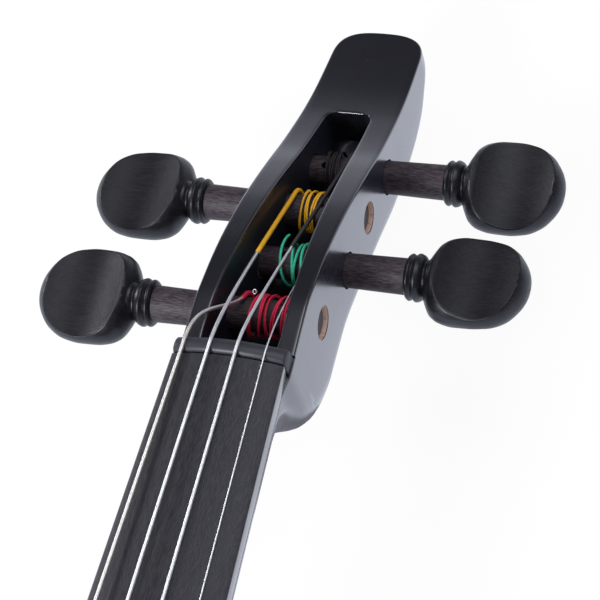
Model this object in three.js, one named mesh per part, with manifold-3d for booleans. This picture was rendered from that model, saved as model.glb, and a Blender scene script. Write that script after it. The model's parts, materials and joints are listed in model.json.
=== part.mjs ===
// Electric violin: carved pegbox head, crowned fingerboard, slim electronics body and open side frames.
// Millimetres. +Z is the front, +Y runs to the head and +X is the treble side.
// The origin lies on the flat back, under the bridge.
import * as THREE from "three";
import { mergeVertices } from "three/addons/utils/BufferGeometryUtils.js";
import Module from "manifold-3d";

const wasm = await Module();
wasm.setup();

// Facets round a turned form, by its size
const finely = 16;
const plainly = 14;
const coarsely = 10;

// Fits shared by all pieces
const seatGap = 0.3;
const runGap = 0.45;
const overrun = 6;

// Scale length, and the fingerboard's side edges above the flat back
const stringLength = 328;
const boardHeight = 62;

// Centre body, and how the bridge divides it
const bodyLength = 356;
const bodyHalf = 36;
const bodyDepth = 40;
const bodyRound = 3;
const bodyUpperEnd = bodyLength * 0.5562;
const bodyLowerEnd = bodyUpperEnd - bodyLength;

// Fingerboard
const boardLength = 270;
const boardNutHalf = 12.05;
const boardEndHalf = 21;
const boardEdge = 4.2;
const boardCrownRadius = 42;
const boardHollowRadius = 60;
const boardHollowDepth = 2.4;

// Nut
const nutLength = 4.5;
const nutRise = 0.55;

// Strings, from bass to treble
const nutSpacing = 5.9;
const nutShift = -0.9;
const bridgeSpacing = 11.27;
const silkThickness = 0.12;
const silkReachShare = 0.45;
const stringSet = [
  { name: "g", radius: 0.42, colour: "#b9a58c" },
  { name: "d", radius: 0.4, colour: "#c9cbd0" },
  { name: "a", radius: 0.36, colour: "#c9cbd0" },
  { name: "e", radius: 0.16, colour: "#d9dbe0" },
];

// Neck and heel
const neckStop = stringLength - bodyUpperEnd;
const neckDepth = 19.2;
const neckDepthGain = 2.2;
const heelLength = 24;
const heelFoot = 2;
const neckRoundness = 2.1;
const headRoundness = 2.5;

// Pegbox head: lengths run from the nut's front edge, drops from the fingerboard's edges
const headLength = 108.6;
const headDrop = 37.5;
const headHalf = 11.95;
const headDepth = 32;
const cheekWall = 4.9;
const cheekChamfer = 0.5;
const cheekThinning = 1;
const boxFloor = 7.4;
const boxLength = headLength * 0.7459;

// Pegs
const pegCollarRadius = 4;
const pegTaper = 1 / 60;
const pegCollarStart = 25.3;
const pegRecess = 1.1;
const collarRadius = 5.25;
const collarLength = 4.1;
const thumbLength = 22.6;
const thumbRadius = 10.2;
const thumbWaist = 5.2;
const dishRadius = 34;
const stringHoleRadius = 0.8;

// Silk windings on the pegs
const silkRadius = 0.42;
const tailFlare = 1.6;
const pegSet = [
  { name: "g", side: -1, alongShare: 0.1768, depthShare: 0.372, contactShare: 0.41, pitch: 1.7, turns: 5, tilt: 3 },
  { name: "e", side: 1, alongShare: 0.3343, depthShare: 0.488, contactShare: 0.44, pitch: 1.5, turns: 3.75, tilt: -4 },
  { name: "d", side: -1, alongShare: 0.4816, depthShare: 0.426, contactShare: 0.4, pitch: 1.5, turns: 3.25, tilt: -3 },
  { name: "a", side: 1, alongShare: 0.6169, depthShare: 0.402, contactShare: 0.275, pitch: 1.4, turns: 3, tilt: 5 },
];

// Side frames: reach of the bouts from the centre line, and the rod's section
const upperBout = 84;
const waist = 56;
const lowerBout = 104;
const rodWidth = 10;
const rodHeight = 20;
const rodLift = 14;
const rodRound = 2.5;

// Bridge and its pickup
const bridgeCrownRadius = 42;
const bridgeCentreRise = 11.4;
const bridgeTilt = 2;
const bridgeHalf = 20.5;
const bridgeFootDepth = 4.6;
const bridgeTopDepth = 1.8;
const pickupThick = 1.6;
const pickupDepth = 8;

// Tailpiece and fine tuners
const afterLength = 56;
const tailGap = 11;
const tailLength = -bodyLowerEnd - afterLength - tailGap;
const tailHeadHalf = 21;
const tailEndHalf = 11;
const tailThick = 6;
const tailTop = 62;
const tailTilt = 6;
const tailSpacing = 9.4;
const leverWidth = 3;
const leverThick = 2.6;
const leverArm = 23.5;
const leverRise = 11;
const forkInset = 10.5;
const forkRise = 4.2;
const forkLine = 1.6;
const ballRadius = 1.7;
const ballLength = 3;
const tunerShaft = 1.7;
const tunerHead = 3.8;
const tunerHeadHeight = 4.5;
const tunerRise = 4.5;
const tunerTravel = 3;

// End button, saddle and tail gut
const buttonShank = 3.8;
const buttonNeck = 3.2;
const buttonNeckLength = 3.6;
const buttonHead = 6.6;
const buttonHeadLength = 5.5;
const buttonShankLength = 18;
const saddleHalf = 17;
const saddleDepth = 6.7;
const saddleSink = 5;
const saddleRise = 5;
const gutRadius = 1.1;
const gutSpread = 5;

// Chin rest and its clamp
const chinHalfLength = 41;
const chinHalfWidth = 27;
const chinThick = 15;
const chinRound = 4;
const chinDishRadius = 62;
const chinDishDepth = 7.5;
const chinAcross = 64;
const chinAlong = -bodyLowerEnd * 0.753;
const chinLift = 45;
const corkThick = 2.4;
const barrelRadius = 3.2;
const barrelRod = 1.5;
const clampPlateThick = 2.6;
const clampSpacing = 24;
const clampReach = 13;

// Control bay, closed by the rear cover
const coverHalf = 31;
const coverLength = -bodyLowerEnd * 0.576;
const coverThick = 3;
const coverStart = -bodyLowerEnd * 0.177;
const bayLedge = 6;
const bayDepth = 30;
const boardThick = 1.6;
const postHeight = 4;
const postRadius = 2.5;
const coverScrewRadius = 1.3;
const coverScrewHead = 2.1;
const coverScrewLength = 9;

// Controls on the treble side wall
const lineJack = { half: 7, reach: 24, height: 13, bush: 5.5, bore: 3.35 };
const phoneJack = { half: 5.5, reach: 15, height: 13, bush: 3.8, bore: 1.9 };
const volumePot = { half: 7, reach: 12, height: 13, bush: 4.3, shaft: 3 };
const knobRadius = 8;
const knobLength = 10;
const knobRibs = 14;
const switchBody = { half: 7, reach: 10, height: 9 };
const switchTab = 3.6;
const switchTabHeight = 3;
const switchTravel = 2;
const jackProud = 1.5;

// Battery and its door
const batteryLength = 48.5;
const batteryWidth = 26.5;
const batteryHeight = 17.5;
const terminalHeight = 3;
const terminalRoot = 1;
const terminalRadius = 2.8;
const doorThick = 2.5;
const doorMargin = 3;
const doorHinge = 1.65;
const doorPin = 0.7;
const batteryStart = 40;

// Where the fingerboard meets the nut
const nutEnd = stringLength;

// Solids and booleans
function solidOf(geometry) {
  const bare = geometry.clone();
  bare.deleteAttribute("normal");
  bare.deleteAttribute("uv");
  const merged = mergeVertices(bare);
  const mesh = new wasm.Mesh({
    numProp: 3,
    vertProperties: new Float32Array(merged.attributes.position.array),
    triVerts: new Uint32Array(merged.index.array),
  });
  return new wasm.Manifold(mesh);
}

function geometryOf(solid) {
  const mesh = solid.getMesh();
  const geometry = new THREE.BufferGeometry();
  geometry.setAttribute("position", new THREE.BufferAttribute(new Float32Array(mesh.vertProperties), 3));
  geometry.setIndex(new THREE.BufferAttribute(new Uint32Array(mesh.triVerts), 1));
  geometry.computeVertexNormals();
  return geometry;
}

function cut(geometry, ...tools) {
  let solid = solidOf(geometry);
  for (const tool of tools) {
    solid = solid.subtract(solidOf(tool));
  }
  return geometryOf(solid);
}

function join(geometry, ...others) {
  let solid = solidOf(geometry);
  for (const other of others) {
    solid = solid.add(solidOf(other));
  }
  return geometryOf(solid);
}

// Closed mesh from corners and triangles, turned so that its faces point out
function closedGeometry(corners, triangles) {
  let volume = 0;
  for (const [a, b, c] of triangles) {
    volume += corners[a].dot(corners[b].clone().cross(corners[c]));
  }
  const order = volume < 0 ? triangles.map(([a, b, c]) => [a, c, b]) : triangles;
  const geometry = new THREE.BufferGeometry();
  const numbers = corners.flatMap((corner) => [corner.x, corner.y, corner.z]);
  geometry.setAttribute("position", new THREE.Float32BufferAttribute(numbers, 3));
  geometry.setIndex(order.flat());
  geometry.computeVertexNormals();
  return geometry;
}

// Skin through rings of equal count, closed at both ends by a fan
function loft(rings) {
  const count = rings[0].length;
  const corners = rings.flat();
  const triangles = [];
  for (let i = 0; i + 1 < rings.length; i += 1) {
    for (let j = 0; j < count; j += 1) {
      const k = (j + 1) % count;
      const near = i * count;
      const far = near + count;
      triangles.push([near + j, near + k, far + k], [near + j, far + k, far + j]);
    }
  }
  for (const [start, flip] of [[0, true], [(rings.length - 1) * count, false]]) {
    const middle = new THREE.Vector3();
    for (let j = 0; j < count; j += 1) {
      middle.addScaledVector(corners[start + j], 1 / count);
    }
    const hub = corners.push(middle) - 1;
    for (let j = 0; j < count; j += 1) {
      const k = (j + 1) % count;
      triangles.push(flip ? [hub, start + k, start + j] : [hub, start + j, start + k]);
    }
  }
  return closedGeometry(corners, triangles);
}

// Round tube along a line of points, with a radius at each point
function tubeAlong(points, radii, sides) {
  const rings = [];
  let across = null;
  for (let i = 0; i < points.length; i += 1) {
    const before = points[Math.max(i - 1, 0)];
    const after = points[Math.min(i + 1, points.length - 1)];
    const along = after.clone().sub(before).normalize();
    if (across === null) {
      const helper = Math.abs(along.z) < 0.9 ? new THREE.Vector3(0, 0, 1) : new THREE.Vector3(1, 0, 0);
      across = helper.cross(along).normalize();
    } else {
      across = across.clone().addScaledVector(along, -across.dot(along)).normalize();
    }
    const third = along.clone().cross(across);
    const ring = [];
    for (let j = 0; j < sides; j += 1) {
      const turn = (2 * Math.PI * j) / sides;
      const reach = Array.isArray(radii) ? radii[i] : radii;
      const corner = points[i].clone();
      corner.addScaledVector(across, reach * Math.cos(turn)).addScaledVector(third, reach * Math.sin(turn));
      ring.push(corner);
    }
    rings.push(ring);
  }
  return loft(rings);
}

// Block from its lowest to its highest corner
function block(low, high) {
  const size = high.map((value, i) => value - low[i]);
  const geometry = new THREE.BoxGeometry(...size);
  return geometry.translate(...low.map((value, i) => value + size[i] / 2));
}

// Turned piece: profile of [along, radius], revolved about an axis and moved to a point
function turned(profile, axis, at, sides = plainly) {
  const outline = profile.map(([along, radius]) => new THREE.Vector2(radius, along));
  const geometry = new THREE.LatheGeometry(outline, sides);
  if (axis === "x") {
    geometry.rotateZ(-Math.PI / 2);
  }
  if (axis === "-x") {
    geometry.rotateZ(Math.PI / 2);
  }
  if (axis === "-y") {
    geometry.rotateX(Math.PI);
  }
  if (axis === "z") {
    geometry.rotateX(Math.PI / 2);
  }
  return geometry.translate(...at);
}

function rod(radius, from, to, axis, at, sides = plainly) {
  return turned([[from, 0], [from, radius], [to, radius], [to, 0]], axis, at, sides);
}

// Flat outline made into a slab of the given thickness, from z = 0 up, with rounded rims
function slab(shape, thick, round = 0, curveSegments = 12) {
  const rim = round > 0;
  const geometry = new THREE.ExtrudeGeometry(shape, {
    depth: thick - 2 * round,
    bevelEnabled: rim,
    bevelThickness: round,
    bevelSize: round,
    bevelOffset: -round,
    bevelSegments: 2,
    curveSegments,
  });
  return geometry.translate(0, 0, round);
}

// Straight reading between the rows of a table of [place, value, value ...]
function readTable(rows, place) {
  const last = rows.length - 1;
  if (place <= rows[0][0]) {
    return rows[0].slice(1);
  }
  if (place >= rows[last][0]) {
    return rows[last].slice(1);
  }
  const i = rows.findIndex((row) => row[0] > place);
  const share = (place - rows[i - 1][0]) / (rows[i][0] - rows[i - 1][0]);
  return rows[i].slice(1).map((value, k) => rows[i - 1][k + 1] + share * (value - rows[i - 1][k + 1]));
}

// The whole instrument
const violin = new THREE.Group();

function finish(colour, roughness, metalness = 0) {
  return new THREE.MeshStandardMaterial({ color: colour, roughness, metalness });
}

const blackPaint = finish("#26262b", 0.38);
const blackPlastic = finish("#1d1d20", 0.5);
const ebony = finish("#2a272b", 0.45);
const boardWood = finish("#38333a", 0.6);
const maple = finish("#c79a63", 0.55);
const steel = finish("#c9cbd0", 0.25, 1);
const brass = finish("#c2a25a", 0.3, 1);
const cork = finish("#a9794e", 0.9);
const silkColours = { g: "#a8173c", d: "#d9a514", a: "#1c1a1e", e: "#2f9c83" };

function add(name, geometry, material, parent = violin) {
  const mesh = new THREE.Mesh(geometry, material);
  mesh.name = name;
  parent.add(mesh);
  return mesh;
}

// Fingerboard half width and crown height at a distance from the nut toward the bridge
function boardHalfAt(fromNut) {
  return boardNutHalf + ((boardEndHalf - boardNutHalf) * fromNut) / boardLength;
}

function crownAt(x, half, radius) {
  return Math.sqrt(radius * radius - x * x) - Math.sqrt(radius * radius - half * half);
}

// Crowned board as a skin through cross sections
function makeFingerboard() {
  const steps = 10;
  const rings = [0, boardLength / 2, boardLength].map((fromNut) => {
    const half = boardHalfAt(fromNut);
    const y = nutEnd - fromNut;
    const ring = [];
    for (let i = 0; i <= steps; i += 1) {
      const x = -half + (2 * half * i) / steps;
      ring.push(new THREE.Vector3(x, y, boardHeight + crownAt(x, half, boardCrownRadius)));
    }
    ring.push(new THREE.Vector3(half, y, boardHeight - boardEdge));
    ring.push(new THREE.Vector3(-half, y, boardHeight - boardEdge));
    return ring;
  });
  const hollowCentre = boardHeight - boardEdge + boardHollowDepth - boardHollowRadius;
  const hollowEnd = bodyUpperEnd - boardEdge;
  const hollow = turned(
    [[nutEnd - boardLength - overrun, 0], [nutEnd - boardLength - overrun, boardHollowRadius],
      [hollowEnd, boardHollowRadius], [hollowEnd, 0]],
    "y", [0, 0, hollowCentre], 72,
  );
  add("fingerboard", cut(loft(rings), hollow), boardWood);
}

// Pegbox front: share of the head's length, share of its drop
const frontShares = [
  [0, 0.099], [0.07, 0.088], [0.138, 0.083], [0.205, 0.109], [0.276, 0.157], [0.345, 0.225], [0.414, 0.306],
  [0.483, 0.405], [0.552, 0.512], [0.62, 0.623], [0.691, 0.725], [0.76, 0.812], [0.829, 0.88], [0.92, 0.945],
  [1, 0.993],
];

// Pegbox back: share of the head's length, share of the head's depth from the fingerboard's edges
const backShares = [
  [-0.13, 0.6], [-0.09, 0.64], [-0.055, 0.72], [-0.03, 0.81], [0, 0.95], [0.035, 1.06], [0.08, 1.12],
  [0.14, 1.125], [0.24, 1.12], [0.36, 1.21], [0.488, 1.34], [0.617, 1.5], [0.72, 1.58], [0.8, 1.61],
  [0.86, 1.6], [0.905, 1.53], [0.945, 1.42], [0.975, 1.31], [0.993, 1.235], [1, 1.21],
];

// Plan of the head: share of the head's length, share of its half width
const planShares = [
  [0, 1.045], [0.18, 1.012], [0.46, 1], [0.83, 0.925], [0.92, 0.9], [0.95, 0.868], [0.967, 0.828],
  [0.983, 0.72], [0.993, 0.577], [0.998, 0.385], [1, 0.21],
];

// Side's straight part as a share of its height
const sideShares = [[-0.13, 0.1], [-0.03, 0.3], [0.05, 0.6], [0.14, 0.76], [0.8, 0.72], [1, 0.5]];

// Where the head's cross sections stand, as shares of its length
const headStationShares = [
  -0.13, -0.08, -0.05, -0.025, 0, 0.035, 0.08, 0.138, 0.205, 0.276, 0.345, 0.414, 0.483, 0.552, 0.64, 0.73,
  0.829, 0.9, 0.945, 0.967, 0.983, 0.993, 1,
];

function frontDrop(y) {
  return headDrop * readTable(frontShares, y / headLength)[0];
}

function backDrop(y) {
  return headDepth * readTable(backShares, y / headLength)[0];
}

function headHalfAt(y) {
  return headHalf * readTable(planShares, y / headLength)[0];
}

// One cross section of the neck: straight sides below chamfered corners, then a rounded back
function neckRing(y, half, top, bottom, sideShare, power) {
  const steps = 10;
  const side = top - Math.max(sideShare * (top - bottom), 2 * cheekChamfer);
  const ring = [
    new THREE.Vector3(-half + cheekChamfer, y, top),
    new THREE.Vector3(-half, y, top - cheekChamfer),
  ];
  for (let i = 0; i <= steps; i += 1) {
    const turn = (Math.PI * i) / steps;
    const x = -half * Math.sign(Math.cos(turn)) * Math.abs(Math.cos(turn)) ** (2 / power);
    const z = side - (side - bottom) * Math.abs(Math.sin(turn)) ** (2 / power);
    ring.push(new THREE.Vector3(x, y, z));
  }
  ring.push(new THREE.Vector3(half, y, top - cheekChamfer));
  ring.push(new THREE.Vector3(half - cheekChamfer, y, top));
  return ring;
}

// Heel: share of the heel's length from the body, share of the way from the neck's back to the heel's foot
const heelShares = [[0, 1], [0.3, 0.95], [0.5, 0.76], [0.66, 0.48], [0.8, 0.22], [1, 0]];

function neckRings() {
  const seat = boardHeight - boardEdge;
  const rings = [];
  const neckBack = (fromNut) => boardHeight - neckDepth - (neckDepthGain * fromNut) / neckStop;
  for (const [alongShare, dropShare] of heelShares) {
    const fromNut = neckStop - heelLength * alongShare;
    const back = neckBack(fromNut);
    const bottom = back + (heelFoot - back) * dropShare;
    const straight = 0.1 + 0.62 * dropShare;
    rings.push(neckRing(nutEnd - fromNut, boardHalfAt(fromNut), seat, bottom, straight, neckRoundness));
  }
  for (const share of [0.62, 0.38, 0.22]) {
    const fromNut = neckStop * share;
    rings.push(neckRing(nutEnd - fromNut, boardHalfAt(fromNut), seat, neckBack(fromNut), 0.1, neckRoundness));
  }
  for (const share of headStationShares) {
    const y = share * headLength;
    const onHead = share >= 0;
    const fade = Math.max(0, 1 + y / nutLength);
    const plain = boardHalfAt(Math.max(-y, 0)) + (headHalfAt(0) - boardNutHalf) * fade;
    const half = onHead ? headHalfAt(y) : plain;
    const top = onHead ? boardHeight - frontDrop(y) : seat;
    const bottom = boardHeight - backDrop(y);
    const [straight] = readTable(sideShares, share);
    rings.push(neckRing(nutEnd + y, half, top, bottom, straight, onHead ? headRoundness : neckRoundness));
  }
  return rings;
}

// Hollow of the pegbox: share of the box's length, share of its half width, share of the floor's full depth
const hollowShares = [
  [0.062, 0.97, 0.12], [0.11, 1, 0.42], [0.17, 1, 0.72], [0.25, 1, 0.93], [0.32, 1, 1], [0.65, 1, 1],
  [0.9, 1, 1], [0.955, 0.97, 0.93], [0.982, 0.8, 0.85], [1, 0.5, 0.78],
];

function hollowHalfAt(y) {
  return headHalfAt(y) - cheekWall + cheekThinning * (1 - y / boxLength);
}

function hollowRings() {
  return hollowShares.map(([alongShare, halfShare, depthShare]) => {
    const y = boxLength * alongShare;
    const half = hollowHalfAt(y) * halfShare;
    const top = boardHeight - frontDrop(y);
    const floor = boardHeight - backDrop(y) + boxFloor;
    const bottom = top - (top - floor) * depthShare;
    const round = cheekWall / 2;
    const high = boardHeight + overrun;
    return [
      [-half, high], [-half, Math.min(bottom + round, high - round)], [-half + round, bottom],
      [half - round, bottom], [half, Math.min(bottom + round, high - round)], [half, high],
    ].map(([x, z]) => new THREE.Vector3(x, nutEnd + y, z));
  });
}

// Peg places in the violin's frame
function pegPlace(peg) {
  const y = headLength * peg.alongShare;
  const z = boardHeight - frontDrop(y) - (backDrop(y) - frontDrop(y)) * peg.depthShare;
  return { y: nutEnd + y, z, half: headHalfAt(y) };
}

// Peg radius at a distance from the centre line toward the peg's head
function pegRadiusAt(x) {
  return pegCollarRadius - (pegCollarStart - x) * pegTaper;
}

function makeNeck() {
  const tools = [loft(hollowRings())];
  tools.push(block(
    [-headHalf - overrun, nutEnd - neckStop / 2, boardHeight - boardEdge],
    [headHalf + overrun, nutEnd + nutLength, boardHeight + overrun],
  ));
  for (const peg of pegSet) {
    const place = pegPlace(peg);
    const reach = place.half + overrun;
    tools.push(turned(
      [[-reach, 0], [-reach, pegRadiusAt(-reach) + seatGap], [reach, pegRadiusAt(reach) + seatGap], [reach, 0]],
      peg.side > 0 ? "x" : "-x", [0, place.y, place.z], plainly,
    ));
  }
  add("neck", cut(loft(neckRings()), ...tools), blackPaint);
}

// Peg: turned shaft, collar and bead, and an oval thumb piece dished on both faces
const collarShares = [
  [0, 0.78], [0.05, 0.89], [0.2, 0.97], [0.33, 0.91], [0.42, 0.91], [0.58, 1], [0.78, 0.95], [1, 0.74],
];
const beadShares = [[1.15, 0.82], [1.32, 0.87], [1.5, 0.8], [2.1, 0.6], [2.4, 0]];
const thumbShares = [
  [0, 0], [0, 0.39], [0.05, 0.62], [0.11, 0.82], [0.2, 0.935], [0.33, 0.99], [0.5, 1], [0.67, 0.945],
  [0.82, 0.78], [0.93, 0.51], [0.985, 0.25], [1, 0],
];

function pegShaftProfile(place) {
  const end = -(place.half - pegRecess);
  const tip = pegRadiusAt(end);
  const profile = [[end, 0], [end, tip * 0.7], [end + tip * 0.15, tip * 0.94], [end + tip * 0.35, tip]];
  for (const [along, radius] of [...collarShares, ...beadShares]) {
    profile.push([pegCollarStart + collarLength * along, collarRadius * radius]);
  }
  return profile;
}

function makePeg(peg) {
  const place = pegPlace(peg);
  const shaft = turned(pegShaftProfile(place), "x", [0, 0, 0], plainly);
  const thumbStart = pegCollarStart + collarLength;
  const thumb = turned(
    thumbShares.map(([along, radius]) => [thumbStart + thumbLength * along, thumbRadius * radius]),
    "x", [0, 0, 0], finely,
  );
  const dish = [];
  const dishReach = thumbRadius + 2 * pegCollarRadius;
  const dishSteps = 4;
  for (let i = 0; i <= dishSteps; i += 1) {
    const radius = (dishReach * i) / dishSteps;
    dish.push([thumbWaist / 2 + dishRadius - Math.sqrt(dishRadius ** 2 - radius ** 2), radius]);
  }
  dish.push([thumbRadius + overrun, dishReach], [thumbRadius + overrun, 0]);
  const middle = thumbStart + thumbLength * 0.54;
  const upper = turned(dish, "z", [middle, 0, 0], finely);
  const lower = upper.clone().rotateX(Math.PI);
  const contact = pegContact(peg, place) * peg.side;
  const holeAt = contact - peg.pitch * (peg.turns + 1);
  const hole = rod(stringHoleRadius, -overrun, overrun, "z", [holeAt, 0, 0], 6);
  const solid = cut(join(cut(thumb, upper, lower), shaft), hole);
  solid.rotateX(THREE.MathUtils.degToRad(peg.tilt));
  if (peg.side < 0) {
    solid.rotateZ(Math.PI);
  }
  const mesh = add(`peg_${peg.name}`, solid, ebony);
  mesh.position.set(0, place.y, place.z);
}

// Where the string meets its peg, from the centre line
function pegContact(peg, place) {
  return peg.side * place.half * peg.contactShare;
}

// Winding: one unbroken silk tube in open turns, with a loose tail that stands off the shaft
function makeWinding(peg) {
  const place = pegPlace(peg);
  const contact = pegContact(peg, place);
  const stepsPerTurn = 24;
  const tailShare = 0.3;
  const steps = Math.round(stepsPerTurn * peg.turns);
  const points = [];
  for (let i = 0; i <= steps; i += 1) {
    const turnsDone = i / stepsPerTurn;
    const x = contact - peg.side * peg.pitch * (1 + turnsDone);
    const tail = Math.max(0, 1 - (peg.turns - turnsDone) / tailShare);
    const base = pegRadiusAt(x * peg.side) + seatGap + silkRadius;
    const sway = silkRadius * 0.5 * (1 - Math.cos(2 * Math.PI * turnsDone));
    const radius = base + sway + tailFlare * tail * tail;
    const turn = THREE.MathUtils.degToRad(-60) - 2 * Math.PI * turnsDone;
    points.push(new THREE.Vector3(x, radius * Math.cos(turn), radius * Math.sin(turn)));
  }
  let least = Infinity;
  for (let i = 0; i < points.length; i += 1) {
    for (let j = i + stepsPerTurn / 2; j < points.length; j += 1) {
      least = Math.min(least, points[i].distanceTo(points[j]) - 2 * silkRadius);
    }
  }
  console.log(`winding_${peg.name}: least gap to itself ${least.toFixed(2)} mm`);
  const silk = finish(silkColours[peg.name], 0.7);
  const mesh = add(`winding_${peg.name}`, tubeAlong(points, silkRadius, 6), silk);
  mesh.position.set(0, place.y, place.z);
}

// Nut: crowned block with a rounded top, grooved for the strings
function makeNut(grooves) {
  const steps = 10;
  const seat = boardHeight - boardEdge;
  const rings = [];
  for (let i = 0; i <= steps; i += 1) {
    const x = -boardNutHalf + (2 * boardNutHalf * i) / steps;
    const top = boardHeight + crownAt(x, boardNutHalf, boardCrownRadius) + nutRise;
    const soft = nutLength * 0.3;
    rings.push([
      [seatGap, seat], [seatGap, top - soft], [soft * 0.6, top - soft * 0.3], [soft * 1.5, top],
      [nutLength - soft * 1.3, top - soft * 0.1], [nutLength - soft * 0.5, top - soft * 0.6],
      [nutLength - seatGap, top - soft * 1.4], [nutLength - seatGap, seat],
    ].map(([y, z]) => new THREE.Vector3(x, nutEnd + y, z)));
  }
  add("nut", cut(loft(rings), ...grooves), ebony);
}

// Bridge's crowned top above the flat back
function bridgeTopAt(x) {
  const drop = bridgeCrownRadius - Math.sqrt(bridgeCrownRadius ** 2 - x * x);
  return boardHeight + bridgeCentreRise - drop - (bridgeTilt * x) / (3 * bridgeSpacing);
}

// Outline of half a bridge: share of its half width, share of its height
const bridgeSideShares = [
  [0.34, 0.05], [0.4, 0.1], [0.56, 0.13], [0.62, 0], [1, 0], [0.98, 0.09], [0.8, 0.17], [0.72, 0.26], [0.76, 0.35],
  [0.95, 0.4], [1, 0.47], [0.95, 0.56], [0.9, 0.68],
];

function makeBridge(notches) {
  const foot = bodyDepth + pickupThick;
  const height = bridgeTopAt(0) - foot;
  const side = bridgeSideShares.map(([across, up]) => [bridgeHalf * across, height * up]);
  const steps = 6;
  const topHalf = bridgeHalf * bridgeSideShares[bridgeSideShares.length - 1][0];
  const crown = [];
  for (let i = 0; i <= 2 * steps; i += 1) {
    const x = topHalf * (1 - i / steps);
    crown.push([x, bridgeTopAt(x) - foot]);
  }
  const archHeight = height * 0.12;
  const outline = [[0, archHeight * 1.3], ...side, ...crown, ...side.map(([x, y]) => [-x, y]).reverse()];
  const shape = new THREE.Shape(outline.map(([x, y]) => new THREE.Vector2(x, y)));
  const heart = new THREE.Path();
  const heartSize = height * 0.12;
  const heartBase = height * 0.4;
  heart.moveTo(0, heartBase);
  heart.quadraticCurveTo(heartSize, heartBase + heartSize, heartSize, heartBase + heartSize * 1.7);
  heart.quadraticCurveTo(heartSize * 0.6, heartBase + heartSize * 2.3, 0, heartBase + heartSize * 1.7);
  heart.quadraticCurveTo(-heartSize * 0.6, heartBase + heartSize * 2.3, -heartSize, heartBase + heartSize * 1.7);
  heart.quadraticCurveTo(-heartSize, heartBase + heartSize, 0, heartBase);
  shape.holes.push(heart);
  for (const hand of [-1, 1]) {
    const kidney = new THREE.Path();
    kidney.absellipse(hand * bridgeHalf * 0.6, height * 0.48, height * 0.1, height * 0.065, 0, 2 * Math.PI, true);
    shape.holes.push(kidney);
  }
  const plate = slab(shape, bridgeFootDepth, 0, 4);
  plate.rotateX(Math.PI / 2);
  plate.translate(0, bridgeFootDepth / 2, foot);
  const lean = Math.atan2(bridgeFootDepth - bridgeTopDepth, height);
  const shave = block([-bridgeHalf - overrun, 0, -overrun], [bridgeHalf + overrun, overrun, height + overrun]);
  shave.rotateX(lean);
  shave.translate(0, bridgeFootDepth / 2, foot);
  add("bridge", cut(plate, shave, ...notches), maple);
  add("bridge_pickup", block(
    [-bridgeHalf - seatGap, -pickupDepth / 2, bodyDepth],
    [bridgeHalf + seatGap, pickupDepth / 2, bodyDepth + pickupThick],
  ), blackPlastic);
}

// Frame of the tailpiece: y runs back from its bridge end as negative, z is up from its top
const tailFrame = new THREE.Group();
tailFrame.position.set(0, -afterLength, tailTop);
tailFrame.rotation.x = THREE.MathUtils.degToRad(tailTilt);
tailFrame.updateMatrix();
violin.add(tailFrame);

function onTail(x, y, z) {
  return new THREE.Vector3(x, y, z).applyMatrix4(tailFrame.matrix);
}

function tailString(i) {
  return (i - 1.5) * tailSpacing;
}

// A string's line: over the nut and the bridge to its fork, and round the top of its peg
function stringPath(i) {
  const { name, radius } = stringSet[i];
  const peg = pegSet.find((one) => one.name === name);
  const place = pegPlace(peg);
  const contact = pegContact(peg, place);
  const nutX = nutShift + (i - 1.5) * nutSpacing;
  const bridgeX = (i - 1.5) * bridgeSpacing;
  const silk = radius + silkThickness;
  const wrap = pegRadiusAt(contact * peg.side) + seatGap + silk;
  const points = [];
  const radii = [];
  const put = (point, reach) => {
    points.push(point);
    radii.push(reach);
  };
  const nutTop = boardHeight + crownAt(nutX, boardNutHalf, boardCrownRadius) + nutRise + radius * 0.4;
  const rear = new THREE.Vector3(nutX, nutEnd + nutLength * 0.82, nutTop - radius * 0.6);
  const [ahead, above] = [rear.y - place.y, rear.z - place.z];
  const meet = Math.atan2(above, ahead) - Math.acos(wrap / Math.hypot(ahead, above));
  const wrapSteps = 10;
  const end = meet - THREE.MathUtils.degToRad(150);
  for (let k = 0; k <= wrapSteps; k += 1) {
    const turn = end + ((meet - end) * k) / wrapSteps;
    put(new THREE.Vector3(contact, place.y + wrap * Math.cos(turn), place.z + wrap * Math.sin(turn)), silk);
  }
  const leave = points[points.length - 1];
  const leaveWay = new THREE.Vector3(0, -Math.sin(meet), Math.cos(meet));
  const rearWay = new THREE.Vector3(0, 1, -0.1).normalize();
  const span = leave.distanceTo(rear);
  const stiff = Math.min(span * 0.5, headLength * 0.09);
  const curve = new THREE.CubicBezierCurve3(
    leave, leave.clone().addScaledVector(leaveWay, stiff),
    rear.clone().addScaledVector(rearWay, stiff), rear,
  );
  const curveSteps = 9;
  for (let k = 1; k <= curveSteps; k += 1) {
    const share = k / curveSteps;
    put(curve.getPoint(share), share > silkReachShare ? radius : silk);
  }
  put(new THREE.Vector3(nutX, nutEnd + nutLength * 0.5, nutTop), radius);
  put(new THREE.Vector3(nutX, nutEnd + nutLength * 0.15, nutTop), radius);
  const bridgeTop = bridgeTopAt(bridgeX) + radius * 0.4;
  put(new THREE.Vector3(bridgeX, bridgeTopDepth * 0.6, bridgeTop), radius);
  put(new THREE.Vector3(bridgeX, -bridgeFootDepth * 0.55, bridgeTop), radius);
  const fork = tailString(i);
  put(onTail(fork, -forkInset + leverThick, forkLine), radius);
  put(onTail(fork, -forkInset - leverThick / 2 - seatGap - ballLength * 0.3, forkLine), radius);
  const overNut = points.slice(-8, -3);
  const [nutSide, front, back, tailSide] = [points.at(-5), points.at(-4), points.at(-3), points.at(-2)];
  const overBridge = [front.clone().lerp(nutSide, overrun / stringLength), front, back,
    back.clone().lerp(tailSide, overrun / afterLength)];
  return { points, radii, overNut, overBridge };
}

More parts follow.
